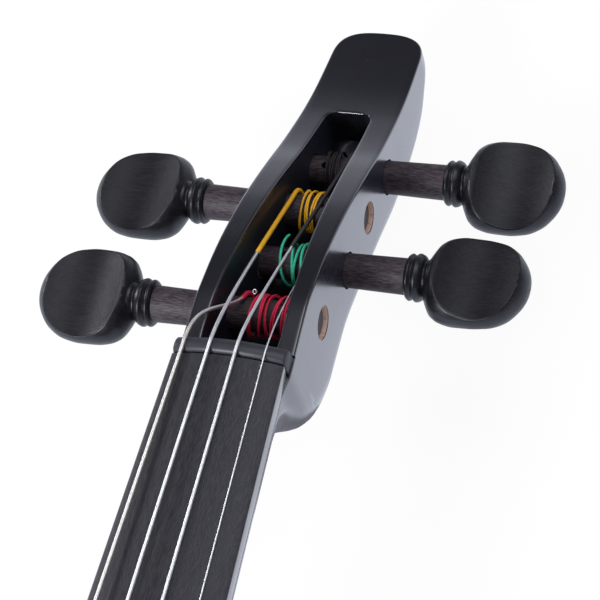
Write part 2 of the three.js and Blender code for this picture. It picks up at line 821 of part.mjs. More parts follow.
function makeStrings() {
  const grooves = [];
  const notches = [];
  stringSet.forEach((one, i) => {
    const { points, radii, overNut, overBridge } = stringPath(i);
    add(`string_${one.name}`, tubeAlong(points, radii, 6), finish(one.colour, 0.3, 1));
    const wide = one.radius + seatGap;
    grooves.push(tubeAlong(overNut, wide, 8));
    notches.push(tubeAlong(overBridge, wide, 8));
  });
  return { grooves, notches };
}

// Tailpiece: crowned plate that narrows to the gut, slotted for the levers and drilled for the tuners
function makeTailpiece() {
  const steps = 6;
  const rings = [[0, 0.97], [0.03, 1], [0.4, 0.8], [0.8, 0.62], [0.97, 0.53], [1, 0.5]].map(([share, wide]) => {
    const half = tailEndHalf + (tailHeadHalf - tailEndHalf) * ((wide - 0.5) / 0.5);
    const ring = [];
    for (let i = 0; i <= steps; i += 1) {
      const x = -half + (2 * half * i) / steps;
      const fall = crownAt(0, half, tailLength / 2) - crownAt(x, half, tailLength / 2);
      ring.push(new THREE.Vector3(x, -tailLength * share, -fall * 0.6));
    }
    ring.push(new THREE.Vector3(half, -tailLength * share, -tailThick));
    ring.push(new THREE.Vector3(-half, -tailLength * share, -tailThick));
    return ring;
  });
  const tools = [];
  stringSet.forEach((one, i) => {
    const x = tailString(i);
    const wide = leverWidth / 2 + seatGap;
    const swing = leverRise * Math.sin(tunerTravel / leverArm);
    tools.push(block(
      [x - wide, -forkInset - leverThick / 2 - ballLength - swing - 2 * runGap, -tailThick - overrun],
      [x + wide, -forkInset + leverThick / 2 + runGap, overrun],
    ));
    tools.push(rod(tunerShaft + seatGap, -tailThick - overrun, overrun, "z", [x, -forkInset - leverArm, 0], coarsely));
  });
  for (const hand of [-1, 1]) {
    const depth = tailLength * 0.12;
    tools.push(rod(gutRadius + seatGap, -tailLength - overrun, -tailLength + depth, "y",
      [hand * gutSpread, 0, -tailThick / 2], coarsely));
  }
  add("tailpiece", cut(loft(rings), ...tools), blackPlastic, tailFrame);
}

// Fine tuner: a lever with an upright fork and a thumb screw that bears on its long arm
function makeFineTuners() {
  stringSet.forEach((one, i) => {
    const x = tailString(i);
    const base = -tailThick - runGap - leverThick;
    const shape = new THREE.Shape([
      [leverThick / 2, base], [leverThick / 2, forkRise], [-leverThick / 2, forkRise],
      [-leverThick / 2, base + leverThick], [-leverArm - leverThick, base + leverThick],
      [-leverArm - leverThick, base],
    ].map(([along, up]) => new THREE.Vector2(along, up)));
    const lever = slab(shape, leverWidth);
    lever.rotateZ(Math.PI / 2).rotateY(Math.PI / 2);
    lever.translate(x - leverWidth / 2, -forkInset, 0);
    const slotHalf = one.radius + seatGap;
    const slot = block(
      [x - slotHalf, -forkInset - overrun, forkLine - slotHalf],
      [x + slotHalf, -forkInset + overrun, forkRise + overrun],
    );
    add(`fine_tuner_lever_${one.name}`, cut(lever, slot), steel, tailFrame);
    const ball = rod(ballRadius, 0, ballLength, "-y", [x, -forkInset - leverThick / 2 - seatGap / 2, forkLine], coarsely);
    const bore = rod(one.radius + 2 * seatGap, -overrun, ballLength + overrun, "-y",
      [x, -forkInset - leverThick / 2 - seatGap / 2, forkLine], coarsely);
    add(`string_ball_${one.name}`, cut(ball, bore), brass, tailFrame);
    const tip = base + leverThick + seatGap / 2;
    const screw = turned([
      [tip, 0], [tip, tunerShaft], [tunerRise, tunerShaft], [tunerRise, tunerHead * 0.86],
      [tunerRise + tunerHeadHeight * 0.15, tunerHead], [tunerRise + tunerHeadHeight * 0.8, tunerHead],
      [tunerRise + tunerHeadHeight, tunerHead * 0.8], [tunerRise + tunerHeadHeight, 0],
    ], "z", [x, -forkInset - leverArm, 0], coarsely);
    add(`fine_tuner_screw_${one.name}`, screw, brass, tailFrame);
  });
}

// Half outline of the centre body: share of its length from the neck, share of its half width
const bodyShares = [[0, 0.52], [0.06, 0.6], [0.2, 0.8], [0.34, 0.78], [0.46, 0.7], [0.56, 0.84], [0.63, 1]];
const bodyEndShares = [[0.885, 1], [0.94, 0.93], [0.978, 0.74], [1, 0.48]];

function bodyOutline(grow = 0) {
  const half = (rows) => rows.map(([along, across]) => {
    const lift = along === 0 ? grow : 0;
    const fall = along === 1 ? grow : 0;
    return new THREE.Vector2(bodyHalf * across + grow, bodyUpperEnd - bodyLength * along + lift - fall);
  });
  const upper = new THREE.SplineCurve(half(bodyShares)).getPoints(12);
  const lower = new THREE.SplineCurve(half(bodyEndShares)).getPoints(6);
  const right = [...upper, ...lower];
  const left = right.map((point) => new THREE.Vector2(-point.x, point.y)).reverse();
  return new THREE.Shape([...right, ...left]);
}

// Places of the control bay, worked from the cover
const bayHalf = coverHalf - bayLedge;
const bayNear = -coverStart - bayLedge;
const bayFar = -coverStart - coverLength + bayLedge;
const boardUnder = bayDepth - postHeight - boardThick;
const controlZ = boardUnder - lineJack.height / 2;
const wallOut = bodyHalf;
const controlPitch = (bayNear - bayFar) / 4;
const controlY = [0, 1, 2, 3].map((i) => bayNear - controlPitch * (i + 0.5));
const [lineY, phoneY, switchY, volumeY] = controlY;
const postPlaces = [-1, 1].flatMap((hand) => [bayNear, bayFar].map((y) => {
  const inset = postRadius + seatGap;
  return [hand * (bayHalf - inset), y + (y === bayNear ? -inset : inset)];
}));
const screwPlaces = [-1, 1].flatMap((hand) => [bayNear, bayFar].map((y) => {
  const out = bayLedge / 2;
  return [hand * (bayHalf + out), y + (y === bayNear ? out : -out)];
}));

// Places of the battery bay
const batteryHalf = batteryWidth / 2 + runGap;
const batteryEnd = batteryStart + batteryLength + terminalHeight + 2 * runGap;
const doorHalf = batteryHalf + doorMargin;
const doorNear = batteryStart - doorMargin;
const doorFar = batteryEnd + doorMargin;
const hingeY = doorFar - doorHinge - runGap;
const hingeZ = doorHinge + seatGap;

function makeBody() {
  const tools = [];
  tools.push(block([-coverHalf - seatGap, -coverStart - coverLength - seatGap, -overrun],
    [coverHalf + seatGap, -coverStart + seatGap, coverThick]));
  const bay = cut(
    block([-bayHalf, bayFar, -overrun], [bayHalf, bayNear, bayDepth]),
    ...postPlaces.map(([x, y]) => rod(postRadius, bayDepth - postHeight, bayDepth + overrun, "z", [x, y, 0], coarsely)),
  );
  tools.push(bay);
  for (const [x, y] of screwPlaces) {
    tools.push(rod(coverScrewRadius + seatGap, 0, coverScrewLength + 2 * seatGap, "z", [x, y, 0], coarsely));
  }
  const through = (radius, y) => rod(radius + seatGap, bayHalf - overrun, wallOut + overrun, "x", [0, y, controlZ], finely);
  tools.push(through(lineJack.bush, lineY), through(phoneJack.bush, phoneY), through(volumePot.bush, volumeY));
  const slotHalf = switchTab / 2 + switchTravel + runGap;
  tools.push(block(
    [bayHalf - overrun, switchY - slotHalf, controlZ - switchTabHeight / 2 - runGap],
    [wallOut + overrun, switchY + slotHalf, controlZ + switchTabHeight / 2 + runGap],
  ));
  tools.push(block([-batteryHalf, batteryStart, -overrun],
    [batteryHalf, batteryEnd, doorThick + 2 * seatGap + batteryHeight + runGap]));
  tools.push(block([-doorHalf - seatGap, doorNear - seatGap, -overrun],
    [doorHalf + seatGap, doorFar + seatGap, doorThick + seatGap]));
  tools.push(rod(doorHinge + runGap, -doorHalf - seatGap, doorHalf + seatGap, "x", [0, hingeY, hingeZ]));
  tools.push(rod(doorPin + seatGap, -doorHalf - 2 * doorMargin, doorHalf + 2 * doorMargin, "x",
    [0, hingeY, hingeZ], coarsely));
  tools.push(block([-saddleHalf - seatGap, bodyLowerEnd - overrun, bodyDepth - saddleSink],
    [saddleHalf + seatGap, bodyLowerEnd + saddleDepth + seatGap, bodyDepth + overrun]));
  tools.push(rod(buttonShank + seatGap, -overrun, buttonShankLength + seatGap, "y",
    [0, bodyLowerEnd, bodyDepth / 2]));
  const body = slab(bodyOutline(), bodyDepth, bodyRound);
  add("centre_body", cut(body, ...tools), blackPaint);
}

// Side frame: share of the bout it follows, and share of the body's length from the neck
const frameShares = [
  ["upper", 0.16, 0.055], ["upper", 0.45, 0.043], ["upper", 0.76, 0.072], ["upper", 0.94, 0.145],
  ["upper", 0.9, 0.27], ["waist", 1.02, 0.39], ["waist", 0.93, 0.485], ["waist", 1.08, 0.585],
  ["lower", 0.82, 0.67], ["lower", 0.951, 0.78], ["lower", 0.9, 0.88], ["lower", 0.66, 0.955],
  ["lower", 0.36, 0.972], ["lower", 0.12, 0.968],
];

function framePath(hand) {
  const reach = { upper: upperBout, waist, lower: lowerBout };
  return new THREE.CatmullRomCurve3(frameShares.map(([bout, across, along]) => new THREE.Vector3(
    hand * reach[bout] * across, bodyUpperEnd - bodyLength * along, rodLift + rodHeight / 2,
  )), false, "centripetal");
}

function makeSideFrame(name, hand) {
  const path = framePath(hand);
  const steps = 40;
  const rings = [];
  const w = rodWidth / 2;
  const h = rodHeight / 2;
  const section = [
    [-w, -h + rodRound], [-w + rodRound, -h], [w - rodRound, -h], [w, -h + rodRound],
    [w, h - rodRound], [w - rodRound, h], [-w + rodRound, h], [-w, h - rodRound],
  ];
  for (let i = 0; i <= steps; i += 1) {
    const middle = path.getPointAt(i / steps);
    const along = path.getTangentAt(i / steps);
    const out = new THREE.Vector3(along.y, -along.x, 0).normalize();
    rings.push(section.map(([across, up]) => middle.clone().addScaledVector(out, across).setZ(middle.z + up)));
  }
  const trim = slab(bodyOutline(seatGap), bodyDepth + 2 * overrun);
  trim.translate(0, 0, -overrun);
  add(name, cut(loft(rings), trim), blackPaint);
}

// Saddle, end button and the gut that ties the tailpiece to them
function makeTailEnd() {
  const profile = new THREE.Shape();
  const top = saddleSink + saddleRise;
  profile.moveTo(0, 0);
  profile.lineTo(saddleDepth, 0);
  profile.lineTo(saddleDepth, top * 0.75);
  profile.quadraticCurveTo(saddleDepth, top, saddleDepth / 2, top);
  profile.quadraticCurveTo(0, top, 0, top * 0.75);
  profile.lineTo(0, 0);
  const saddle = slab(profile, 2 * saddleHalf, 0, 5);
  saddle.rotateX(Math.PI / 2).rotateZ(Math.PI / 2);
  saddle.translate(-saddleHalf, bodyLowerEnd, bodyDepth - saddleSink);
  add("saddle", saddle, ebony);
  const neckEnd = buttonNeckLength;
  const headEnd = neckEnd + buttonHeadLength;
  add("end_button", turned([
    [-buttonShankLength, 0], [-buttonShankLength, buttonShank * 0.8], [-buttonShank, buttonShank],
    [-seatGap, buttonShank], [seatGap, buttonNeck], [neckEnd, buttonNeck], [neckEnd, buttonHead * 0.86],
    [neckEnd + buttonHeadLength * 0.2, buttonHead], [neckEnd + buttonHeadLength * 0.6, buttonHead],
    [headEnd, buttonHead * 0.55], [headEnd, 0],
  ], "-y", [0, bodyLowerEnd, bodyDepth / 2], finely), ebony);
  const side = [
    onTail(gutSpread, -tailLength * 0.9, -tailThick / 2),
    onTail(gutSpread, -tailLength, -tailThick / 2),
    onTail(gutSpread, -tailLength - gutRadius, -tailThick / 2),
  ];
  const clear = gutRadius + seatGap;
  const saddleTop = bodyDepth + saddleRise + clear;
  const outY = bodyLowerEnd - clear;
  side.push(new THREE.Vector3(gutSpread, bodyLowerEnd + saddleDepth / 2, saddleTop));
  side.push(new THREE.Vector3(gutSpread, bodyLowerEnd + gutRadius, saddleTop - gutRadius * 0.3));
  side.push(new THREE.Vector3(gutSpread, outY, saddleTop - gutRadius * 2));
  side.push(new THREE.Vector3(gutSpread, outY, bodyDepth * 0.8));
  const loop = [];
  const loopRadius = buttonNeck + clear;
  const loopSteps = 8;
  for (let k = 0; k <= loopSteps; k += 1) {
    const turn = (-Math.PI * k) / loopSteps;
    loop.push(new THREE.Vector3(loopRadius * Math.cos(turn), outY, bodyDepth / 2 + loopRadius * Math.sin(turn)));
  }
  const other = side.map((point) => new THREE.Vector3(-point.x, point.y, point.z)).reverse();
  add("tail_gut", tubeAlong([...side, ...loop, ...other], gutRadius, 7), blackPlastic);
}

// Chin rest: dished oval cup on two cork pads, drawn down by a clamp with two barrels
function makeChinRest() {
  const oval = new THREE.Shape();
  oval.absellipse(-chinAcross, -chinAlong, chinHalfLength, chinHalfWidth, 0, 2 * Math.PI, false);
  const cup = slab(oval, chinThick, chinRound, 12);
  cup.translate(0, 0, chinLift);
  const dish = new THREE.SphereGeometry(chinDishRadius, 40, 28);
  dish.translate(-chinAcross, -chinAlong, chinLift + chinThick - chinDishDepth + chinDishRadius);
  const path = framePath(-1);
  const seat = path.getPointAt(0.865);
  const way = path.getTangentAt(0.865);
  const rodTop = rodLift + rodHeight;
  const padHalf = rodWidth * 0.62;
  const padLength = clampSpacing + 2 * barrelRadius;
  const angle = Math.atan2(way.y, way.x);
  const laid = (geometry) => geometry.rotateZ(angle).translate(seat.x, seat.y, 0);
  const foot = laid(block([-padLength / 2, -clampReach, rodTop + corkThick],
    [padLength / 2, padHalf, chinLift + chinRound]));
  const inner = [-bodyHalf + padHalf + corkThick, -chinAlong + corkThick];
  const footIn = block(
    [inner[0] - padHalf, inner[1] - padLength / 2, bodyDepth + corkThick],
    [inner[0] + padHalf, inner[1] + padLength / 2, chinLift + chinRound],
  );
  const barrels = [-1, 1].map((hand) => [(hand * clampSpacing) / 2, barrelRadius + seatGap - clampReach]);
  const sockets = barrels.map(([x, y]) => laid(rod(barrelRod + seatGap, 0, chinLift + seatGap, "z", [x, y, 0], coarsely)));
  add("chin_rest", cut(join(cut(cup, dish), foot, footIn), ...sockets), blackPlastic);
  add("chin_rest_cork_outer", laid(block([-padLength / 2, -padHalf, rodTop + seatGap / 2],
    [padLength / 2, padHalf, rodTop + corkThick])), cork);
  add("chin_rest_cork_inner", block(
    [inner[0] - padHalf, inner[1] - padLength / 2, bodyDepth],
    [inner[0] + padHalf, inner[1] + padLength / 2, bodyDepth + corkThick],
  ), cork);
  const plateTop = rodLift - corkThick;
  add("clamp_cork", laid(block([-padLength / 2, -padHalf, plateTop],
    [padLength / 2, padHalf, rodLift - seatGap / 2])), cork);
  add("clamp_plate", cut(
    laid(block([-padLength / 2, -clampReach, plateTop - clampPlateThick], [padLength / 2, padHalf, plateTop])),
    ...sockets,
  ), steel);
  barrels.forEach(([x, y], i) => {
    const low = plateTop - clampPlateThick;
    const high = chinLift - seatGap;
    const bodyLow = plateTop + seatGap;
    const bodyHigh = rodTop + corkThick - seatGap;
    const barrel = turned([
      [low, 0], [low, barrelRod], [bodyLow, barrelRod], [bodyLow, barrelRadius * 0.8],
      [bodyLow + barrelRod, barrelRadius], [bodyHigh - barrelRod, barrelRadius],
      [bodyHigh, barrelRadius * 0.8], [bodyHigh, barrelRod], [high, barrelRod], [high, 0],
    ], "z", [x, y, 0], coarsely);
    add(`clamp_barrel_${i + 1}`, laid(barrel), steel);
  });
}

// Electronics: board on its posts, sockets, switch and volume control, battery and covers
function boxedControl(name, size, y, bore) {
  const wallIn = bayHalf - seatGap;
  const top = boardUnder;
  const body = block([wallIn - size.reach, y - size.half, top - size.height], [wallIn, y + size.half, top]);
  const bush = rod(size.bush, wallIn - seatGap, wallOut + jackProud, "x", [0, y, controlZ], finely);
  const hole = rod(bore, wallIn - size.reach * 0.7, wallOut + overrun, "x", [0, y, controlZ]);
  add(name, cut(join(body, bush), hole), blackPlastic);
}

function makeElectronics() {
  const boardEdgeGap = 2 * seatGap;
  add("circuit_board", block(
    [-bayHalf + boardEdgeGap, bayFar + boardEdgeGap, boardUnder],
    [bayHalf - boardEdgeGap, bayNear - boardEdgeGap, boardUnder + boardThick],
  ), finish("#1f5a3a", 0.6));
  boxedControl("line_out_jack", lineJack, lineY, lineJack.bore);
  boxedControl("headphone_jack", phoneJack, phoneY, phoneJack.bore);
  boxedControl("volume_pot", volumePot, volumeY, volumePot.shaft + seatGap);
  const shaftStart = bayHalf - volumePot.reach * 0.5;
  const knobStart = wallOut + jackProud + seatGap;
  const shaftEnd = knobStart + knobLength * 0.7;
  add("volume_shaft", rod(volumePot.shaft, shaftStart, shaftEnd, "x", [0, volumeY, controlZ]), steel);
  const knob = new THREE.Shape();
  const ribSteps = 4 * knobRibs;
  for (let k = 0; k < ribSteps; k += 1) {
    const turn = (2 * Math.PI * k) / ribSteps;
    const reach = knobRadius - (k % 4 < 2 ? 0 : knobRadius * 0.06);
    const point = [reach * Math.cos(turn), reach * Math.sin(turn)];
    if (k === 0) {
      knob.moveTo(...point);
    } else {
      knob.lineTo(...point);
    }
  }
  const knobSolid = slab(knob, knobLength);
  knobSolid.rotateY(Math.PI / 2).translate(knobStart, volumeY, controlZ);
  const socket = rod(volumePot.shaft + seatGap, knobStart - overrun, shaftEnd + seatGap, "x",
    [0, volumeY, controlZ]);
  add("volume_knob", cut(knobSolid, socket), blackPlastic);
  const tabTop = controlZ + switchTabHeight / 2;
  const tabStart = bayHalf - switchBody.reach * 0.6;
  const slotHalf = switchTab / 2 + switchTravel + runGap;
  const housing = cut(
    block([bayHalf - seatGap - switchBody.reach, switchY - switchBody.half, controlZ - switchBody.height / 2],
      [bayHalf - seatGap, switchY + switchBody.half, boardUnder]),
    block([tabStart - seatGap, switchY - slotHalf, tabTop - switchTabHeight - seatGap],
      [bayHalf + overrun, switchY + slotHalf, tabTop + seatGap]),
  );
  add("switch_housing", housing, blackPlastic);
  add("power_switch", block([tabStart, switchY - switchTab / 2, tabTop - switchTabHeight],
    [wallOut + 2 * jackProud, switchY + switchTab / 2, tabTop]), blackPlastic);
  const coverHoles = screwPlaces.flatMap(([x, y]) => [
    rod(coverScrewRadius + seatGap, -overrun, overrun, "z", [x, y, 0], coarsely),
    rod(coverScrewHead + seatGap, -overrun, coverThick * 0.6, "z", [x, y, 0], coarsely),
  ]);
  add("rear_cover", cut(block([-coverHalf, -coverStart - coverLength, 0], [coverHalf, -coverStart, coverThick]),
    ...coverHoles), blackPlastic);
  screwPlaces.forEach(([x, y], i) => {
    const headTop = coverThick * 0.6;
    const screw = turned([
      [seatGap, 0], [seatGap, coverScrewHead], [headTop, coverScrewHead], [headTop, coverScrewRadius],
      [coverScrewLength, coverScrewRadius], [coverScrewLength, 0],
    ], "z", [x, y, 0], coarsely);
    add(`cover_screw_${i + 1}`, screw, steel);
  });
}

function makeBattery() {
  const low = doorThick + seatGap;
  const half = batteryWidth / 2;
  const start = batteryStart + runGap;
  const cell = block([-half, start, low], [half, start + batteryLength, low + batteryHeight]);
  const caps = [-1, 1].map((hand) => rod(terminalRadius, batteryLength - terminalRoot,
    batteryLength + terminalHeight, "y",
    [hand * half * 0.5, start, low + batteryHeight / 2]));
  add("battery", join(cell, ...caps), finish("#5a5d63", 0.4, 0.6));
  const leaf = block([-doorHalf, doorNear, 0], [doorHalf, hingeY, doorThick]);
  const knuckle = rod(doorHinge, -doorHalf, doorHalf, "x", [0, hingeY, hingeZ]);
  const bore = rod(doorPin + seatGap, -doorHalf - overrun, doorHalf + overrun, "x", [0, hingeY, hingeZ], coarsely);
  add("battery_door", cut(join(leaf, knuckle), bore), blackPlastic);
  add("battery_door_pin", rod(doorPin, -doorHalf - doorMargin, doorHalf + doorMargin, "x",
    [0, hingeY, hingeZ], coarsely), steel);
}

makeFingerboard();
makeNeck();
pegSet.forEach(makePeg);
pegSet.forEach(makeWinding);
const { grooves, notches } = makeStrings();
makeNut(grooves);
makeBridge(notches);
makeTailpiece();
makeFineTuners();
makeBody();
makeSideFrame("bass_frame", -1);
makeSideFrame("treble_frame", 1);
makeTailEnd();
makeChinRest();
makeElectronics();
makeBattery();

export default violin;
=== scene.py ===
"""Electric violin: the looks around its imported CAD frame.

Sizes in the classes are millimetres in the violin's frame: +Z is the front, +Y runs to the head,
+X is the treble side, and the origin lies on the flat back under the bridge.
"""
import json
import logging
from dataclasses import dataclass
from enum import Enum
from math import acos, atan2, copysign, cos, exp, hypot, log, pi, radians, sin, sqrt
from typing import Sequence

import bmesh
import bpy
from mathutils import Matrix, Vector
from mathutils.geometry import interpolate_bezier

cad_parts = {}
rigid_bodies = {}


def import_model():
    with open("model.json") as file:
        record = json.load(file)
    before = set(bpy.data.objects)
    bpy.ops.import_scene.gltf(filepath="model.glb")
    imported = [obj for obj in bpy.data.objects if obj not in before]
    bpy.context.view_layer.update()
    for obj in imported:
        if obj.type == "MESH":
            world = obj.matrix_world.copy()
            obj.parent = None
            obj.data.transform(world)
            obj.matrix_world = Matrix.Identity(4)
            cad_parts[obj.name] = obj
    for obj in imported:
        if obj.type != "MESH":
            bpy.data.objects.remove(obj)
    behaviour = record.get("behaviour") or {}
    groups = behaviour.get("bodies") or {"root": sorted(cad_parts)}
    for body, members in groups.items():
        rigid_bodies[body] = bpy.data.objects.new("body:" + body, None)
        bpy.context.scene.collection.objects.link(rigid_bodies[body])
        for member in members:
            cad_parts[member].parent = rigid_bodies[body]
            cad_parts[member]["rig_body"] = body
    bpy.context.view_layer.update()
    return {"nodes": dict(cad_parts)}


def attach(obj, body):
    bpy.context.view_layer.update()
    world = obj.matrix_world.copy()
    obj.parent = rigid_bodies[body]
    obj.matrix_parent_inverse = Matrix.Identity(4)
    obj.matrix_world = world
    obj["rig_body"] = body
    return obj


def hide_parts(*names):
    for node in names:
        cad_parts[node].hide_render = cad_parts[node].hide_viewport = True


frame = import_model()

MM = 0.001
MERGE = 0.002 * MM
TURN = 2 * pi
LOG = logging.getLogger("violin")

Table = Sequence[Sequence[float]]
Point = Sequence[float]
Mesh = bmesh.types.BMesh
Socket = bpy.types.NodeSocket


# Numbers and colours


def linear(code: str) -> tuple[float, float, float, float]:
    """Turn an sRGB hex colour into linear light.

    Args:
        code: colour such as "#1c1a1e".

    Returns:
        Red, green, blue and a full alpha.
    """
    shares = [int(code[i:i + 2], 16) / 255 for i in (1, 3, 5)]
    light = [s / 12.92 if s <= 0.04045 else ((s + 0.055) / 1.055) ** 2.4 for s in shares]
    return (*light, 1.0)


def eased_between(a: float, b: float, leave: float, arrive: float, t: float) -> float:
    """Curve from a to b with a slope at each end, read at a share t of the way."""
    there = a * (1 + 2 * t) * (1 - t) ** 2 + leave * t * (1 - t) ** 2
    return there + b * t * t * (3 - 2 * t) + arrive * t * t * (t - 1)


def read_smooth(rows: Table, place: float) -> list[float]:
    """Read a table along a curve that never overshoots its rows.

    Args:
        rows: rows of place, value, value and so on, with rising places.
        place: where to read.

    Returns:
        The values at that place.
    """
    if place <= rows[0][0]:
        return list(rows[0][1:])
    if place >= rows[-1][0]:
        return list(rows[-1][1:])
    i = next(k for k, row in enumerate(rows) if row[0] > place) - 1
    step = rows[i + 1][0] - rows[i][0]
    t = (place - rows[i][0]) / step
    values = []
    for k in range(1, len(rows[0])):
        leave, arrive = slope_at(rows, i, k) * step, slope_at(rows, i + 1, k) * step
        values.append(eased_between(rows[i][k], rows[i + 1][k], leave, arrive, t))
    return values


def slope_at(rows: Table, i: int, k: int) -> float:
    """Slope of a table's column at a row, kept flat at peaks and never too steep.

    Args:
        rows: the table.
        i: the row.
        k: the column.

    Returns:
        Value per place.
    """
    if i == 0 or i == len(rows) - 1:
        j = min(i, len(rows) - 2)
        return (rows[j + 1][k] - rows[j][k]) / (rows[j + 1][0] - rows[j][0])
    before = (rows[i][k] - rows[i - 1][k]) / (rows[i][0] - rows[i - 1][0])
    after = (rows[i + 1][k] - rows[i][k]) / (rows[i + 1][0] - rows[i][0])
    if before * after <= 0:
        return 0.0
    return 2 * before * after / (before + after)


def steps_between(low: float, high: float, count: int) -> list[float]:
    """Even steps from low to high, both ends included."""
    return [low + (high - low) * i / count for i in range(count + 1)]


def arc(centre: Point, radius: float, start: float, end: float, count: int) -> list[Point]:
    """Points on a circle's arc in its plane, from one angle to another in degrees."""
    angles = [radians(a) for a in steps_between(start, end, count)]
    return [(centre[0] + radius * cos(a), centre[1] + radius * sin(a)) for a in angles]


def bent(start: Point, pull: Point, end: Point, t: float) -> Point:
    """Point at a share t of a bend that is drawn toward a third point."""
    return tuple(a * (1 - t) ** 2 + 2 * b * t * (1 - t) + c * t * t for a, b, c in zip(start, pull, end))


def other_side(points: Sequence[Point]) -> list[Point]:
    """The same points on the violin's other side, last one first."""
    return [(-p[0], *p[1:]) for p in reversed(points)]


def way_at(line: Sequence[Vector], i: int) -> Vector:
    """The way a line of points runs at one of them."""
    return (line[min(i + 1, len(line) - 1)] - line[max(i - 1, 0)]).normalized()


def shift(at: Point) -> Matrix:
    """A move by millimetres."""
    return Matrix.Translation(Vector(at) * MM)


# Node materials


COOL_SHINE = "#eef1ff"
COOL_HAZE = "#94a8ff"


class Surface:
    """Node tree of a material or of the world, built from nothing."""

    def __init__(self, holder: bpy.types.Material | bpy.types.World) -> None:
        """Clear the holder's tree."""
        holder.use_nodes = True
        self.tree = holder.node_tree
        self.tree.nodes.clear()
        self.shader = None

    def add(
        self, kind: str, inputs: dict | None = None, stops: Sequence[tuple[float, str]] = (),
        out: str | int = 0, **settings: str,
    ) -> Socket:
        """Add one node with its settings and links.

        Args:
            kind: the node's type name after "ShaderNode".
            inputs: constants, or outputs to link, by input name or index.
            stops: places and hex colours of a colour ramp.
            out: name or index of the output that is wanted.
            settings: attributes set on the node.

        Returns:
            That output, whose node attribute is the node.
        """
        node = self.tree.nodes.new(f"ShaderNode{kind}")
        for name, value in settings.items():
            setattr(node, name, value)
        self.fill(node, inputs or {})
        while stops and len(node.color_ramp.elements) < len(stops):
            node.color_ramp.elements.new(1.0)
        for k, (place, code) in enumerate(stops):
            node.color_ramp.elements[k].position = place
            node.color_ramp.elements[k].color = linear(code)
        return node.outputs[out] if node.outputs else None

    def fill(self, node: bpy.types.Node, inputs: dict) -> None:
        """Set a node's constants, and link the inputs whose value is another node's output.

        Args:
            node: the node.
            inputs: constants or outputs, by input name or index.
        """
        for name, value in inputs.items():
            if isinstance(value, Socket):
                self.tree.links.new(value, node.inputs[name])
            else:
                node.inputs[name].default_value = value

    def cells(self, size_mm: Point, detail: float = 3.0, turn: float = 0.0) -> Socket:
        """Soft noise whose blobs have a real size along each axis.

        Args:
            size_mm: length of a blob along x, y and z.
            detail: finer layers of the noise.
            turn: shift that keeps two patterns apart.

        Returns:
            A factor from 0 to 1.
        """
        place = self.add("TexCoord", out="Object")
        scale = [1 / (size * MM) for size in size_mm]
        mapped = self.add("Mapping", {"Scale": scale, "Location": (turn,) * 3, "Vector": place})
        return self.add("TexNoise", {"Scale": 1.0, "Detail": detail, "Roughness": 0.6, "Vector": mapped})

    def haze(self, blobs: Socket, low: float, high: float) -> None:
        """Let the roughness drift between two values with soft noise."""
        drift = self.add("MapRange", {0: blobs, 1: 0.25, 2: 0.75, 3: low, 4: high})
        self.fill(self.shader, {"Roughness": drift})

    def relief(self, height: Socket, depth_mm: float, strength: float) -> None:
        """Raise the surface by a height from 0 to 1, of which a share shows."""
        normal = self.add("Bump", {"Height": height, "Distance": depth_mm * MM, "Strength": strength})
        self.fill(self.shader, {"Normal": normal})

    def coloured(self, factor: Socket, stops: Sequence[tuple[float, str]]) -> None:
        """Colour the surface along a factor."""
        self.fill(self.shader, {"Base Color": self.add("ValToRGB", {0: factor}, stops)})

    def stripes(self, spans: Table, axis: int = 0, reach_mm: float | None = None) -> Socket:
        """Pick out lengthwise stripes of a skin by its own UV map.

        Args:
            spans: middle and half width of each stripe, in turns round the skin.
            axis: 0 to measure the reach across the violin, 1 along it.
            reach_mm: distance from the violin's middle at which the stripes stop, if they do.

        Returns:
            1 on the stripes and 0 elsewhere.
        """
        turns = self.add("SeparateXYZ", {0: self.add("UVMap", uv_map="Skin")})
        found = None
        for middle, half in spans:
            stripe = self.add("Math", {0: turns, 1: middle, 2: half}, operation="COMPARE")
            if found is not None:
                stripe = self.add("Math", {0: found, 1: stripe}, operation="MAXIMUM")
            found = stripe
        if reach_mm is None:
            return found
        at = self.add("SeparateXYZ", {0: self.add("TexCoord", out="Object")}, out=axis)
        near = self.add("Math", {0: at, 1: 0.0, 2: reach_mm * MM}, operation="COMPARE")
        return self.add("Math", {0: found, 1: near}, operation="MULTIPLY")

    def shift_there(self, name: str, there: Socket, change: float) -> None:
        """Change one of the shader's values where a factor is 1.

        Args:
            name: name of the value.
            there: the factor.
            change: what is added.
        """
        held = self.shader.inputs[name]
        now = held.links[0].from_socket if held.is_linked else held.default_value
        changed = self.add("Math", {0: there, 1: change, 2: now}, operation="MULTIPLY_ADD")
        self.fill(self.shader, {name: changed})

    def laps(self, lap_mm: float, slant: float) -> Socket:
        """Rounded ridges round a tube, from the tube's own UV map.

        Args:
            lap_mm: ridge spacing along the tube.
            slant: ridges gained in one turn round the tube, so 1 gives a single thread.

        Returns:
            A height from 0 to 1.
        """
        rate = (TURN * slant, TURN / (lap_mm * MM), 0.0)
        skin = self.add("UVMap", uv_map="Skin")
        along = self.add("VectorMath", {0: skin, 1: rate}, out="Value", operation="DOT_PRODUCT")
        wave = self.add("Math", {0: along}, operation="SINE")
        return self.add("Math", {0: wave, 1: 0.5, 2: 0.5}, operation="MULTIPLY_ADD")


@dataclass(frozen=True)
class Finish:
    """A surface as the maker left it."""

    name: str
    colour: str
    roughness: float

    def dress(self, on: Surface) -> None:
        """Add this finish's detail to its surface."""

    def material(self) -> bpy.types.Material:
        """The finish's material, made once and then shared.

        Returns:
            The material.
        """
        made = bpy.data.materials.get(self.name)
        if made is None:
            made = bpy.data.materials.new(self.name)
            made.diffuse_color = linear(self.colour)
            on = Surface(made)
            plain = {"Base Color": linear(self.colour), "Roughness": self.roughness}
            surface = on.add("BsdfPrincipled", plain)
            on.shader = surface.node
            self.dress(on)
            on.add("OutputMaterial", {"Surface": surface})
        return made


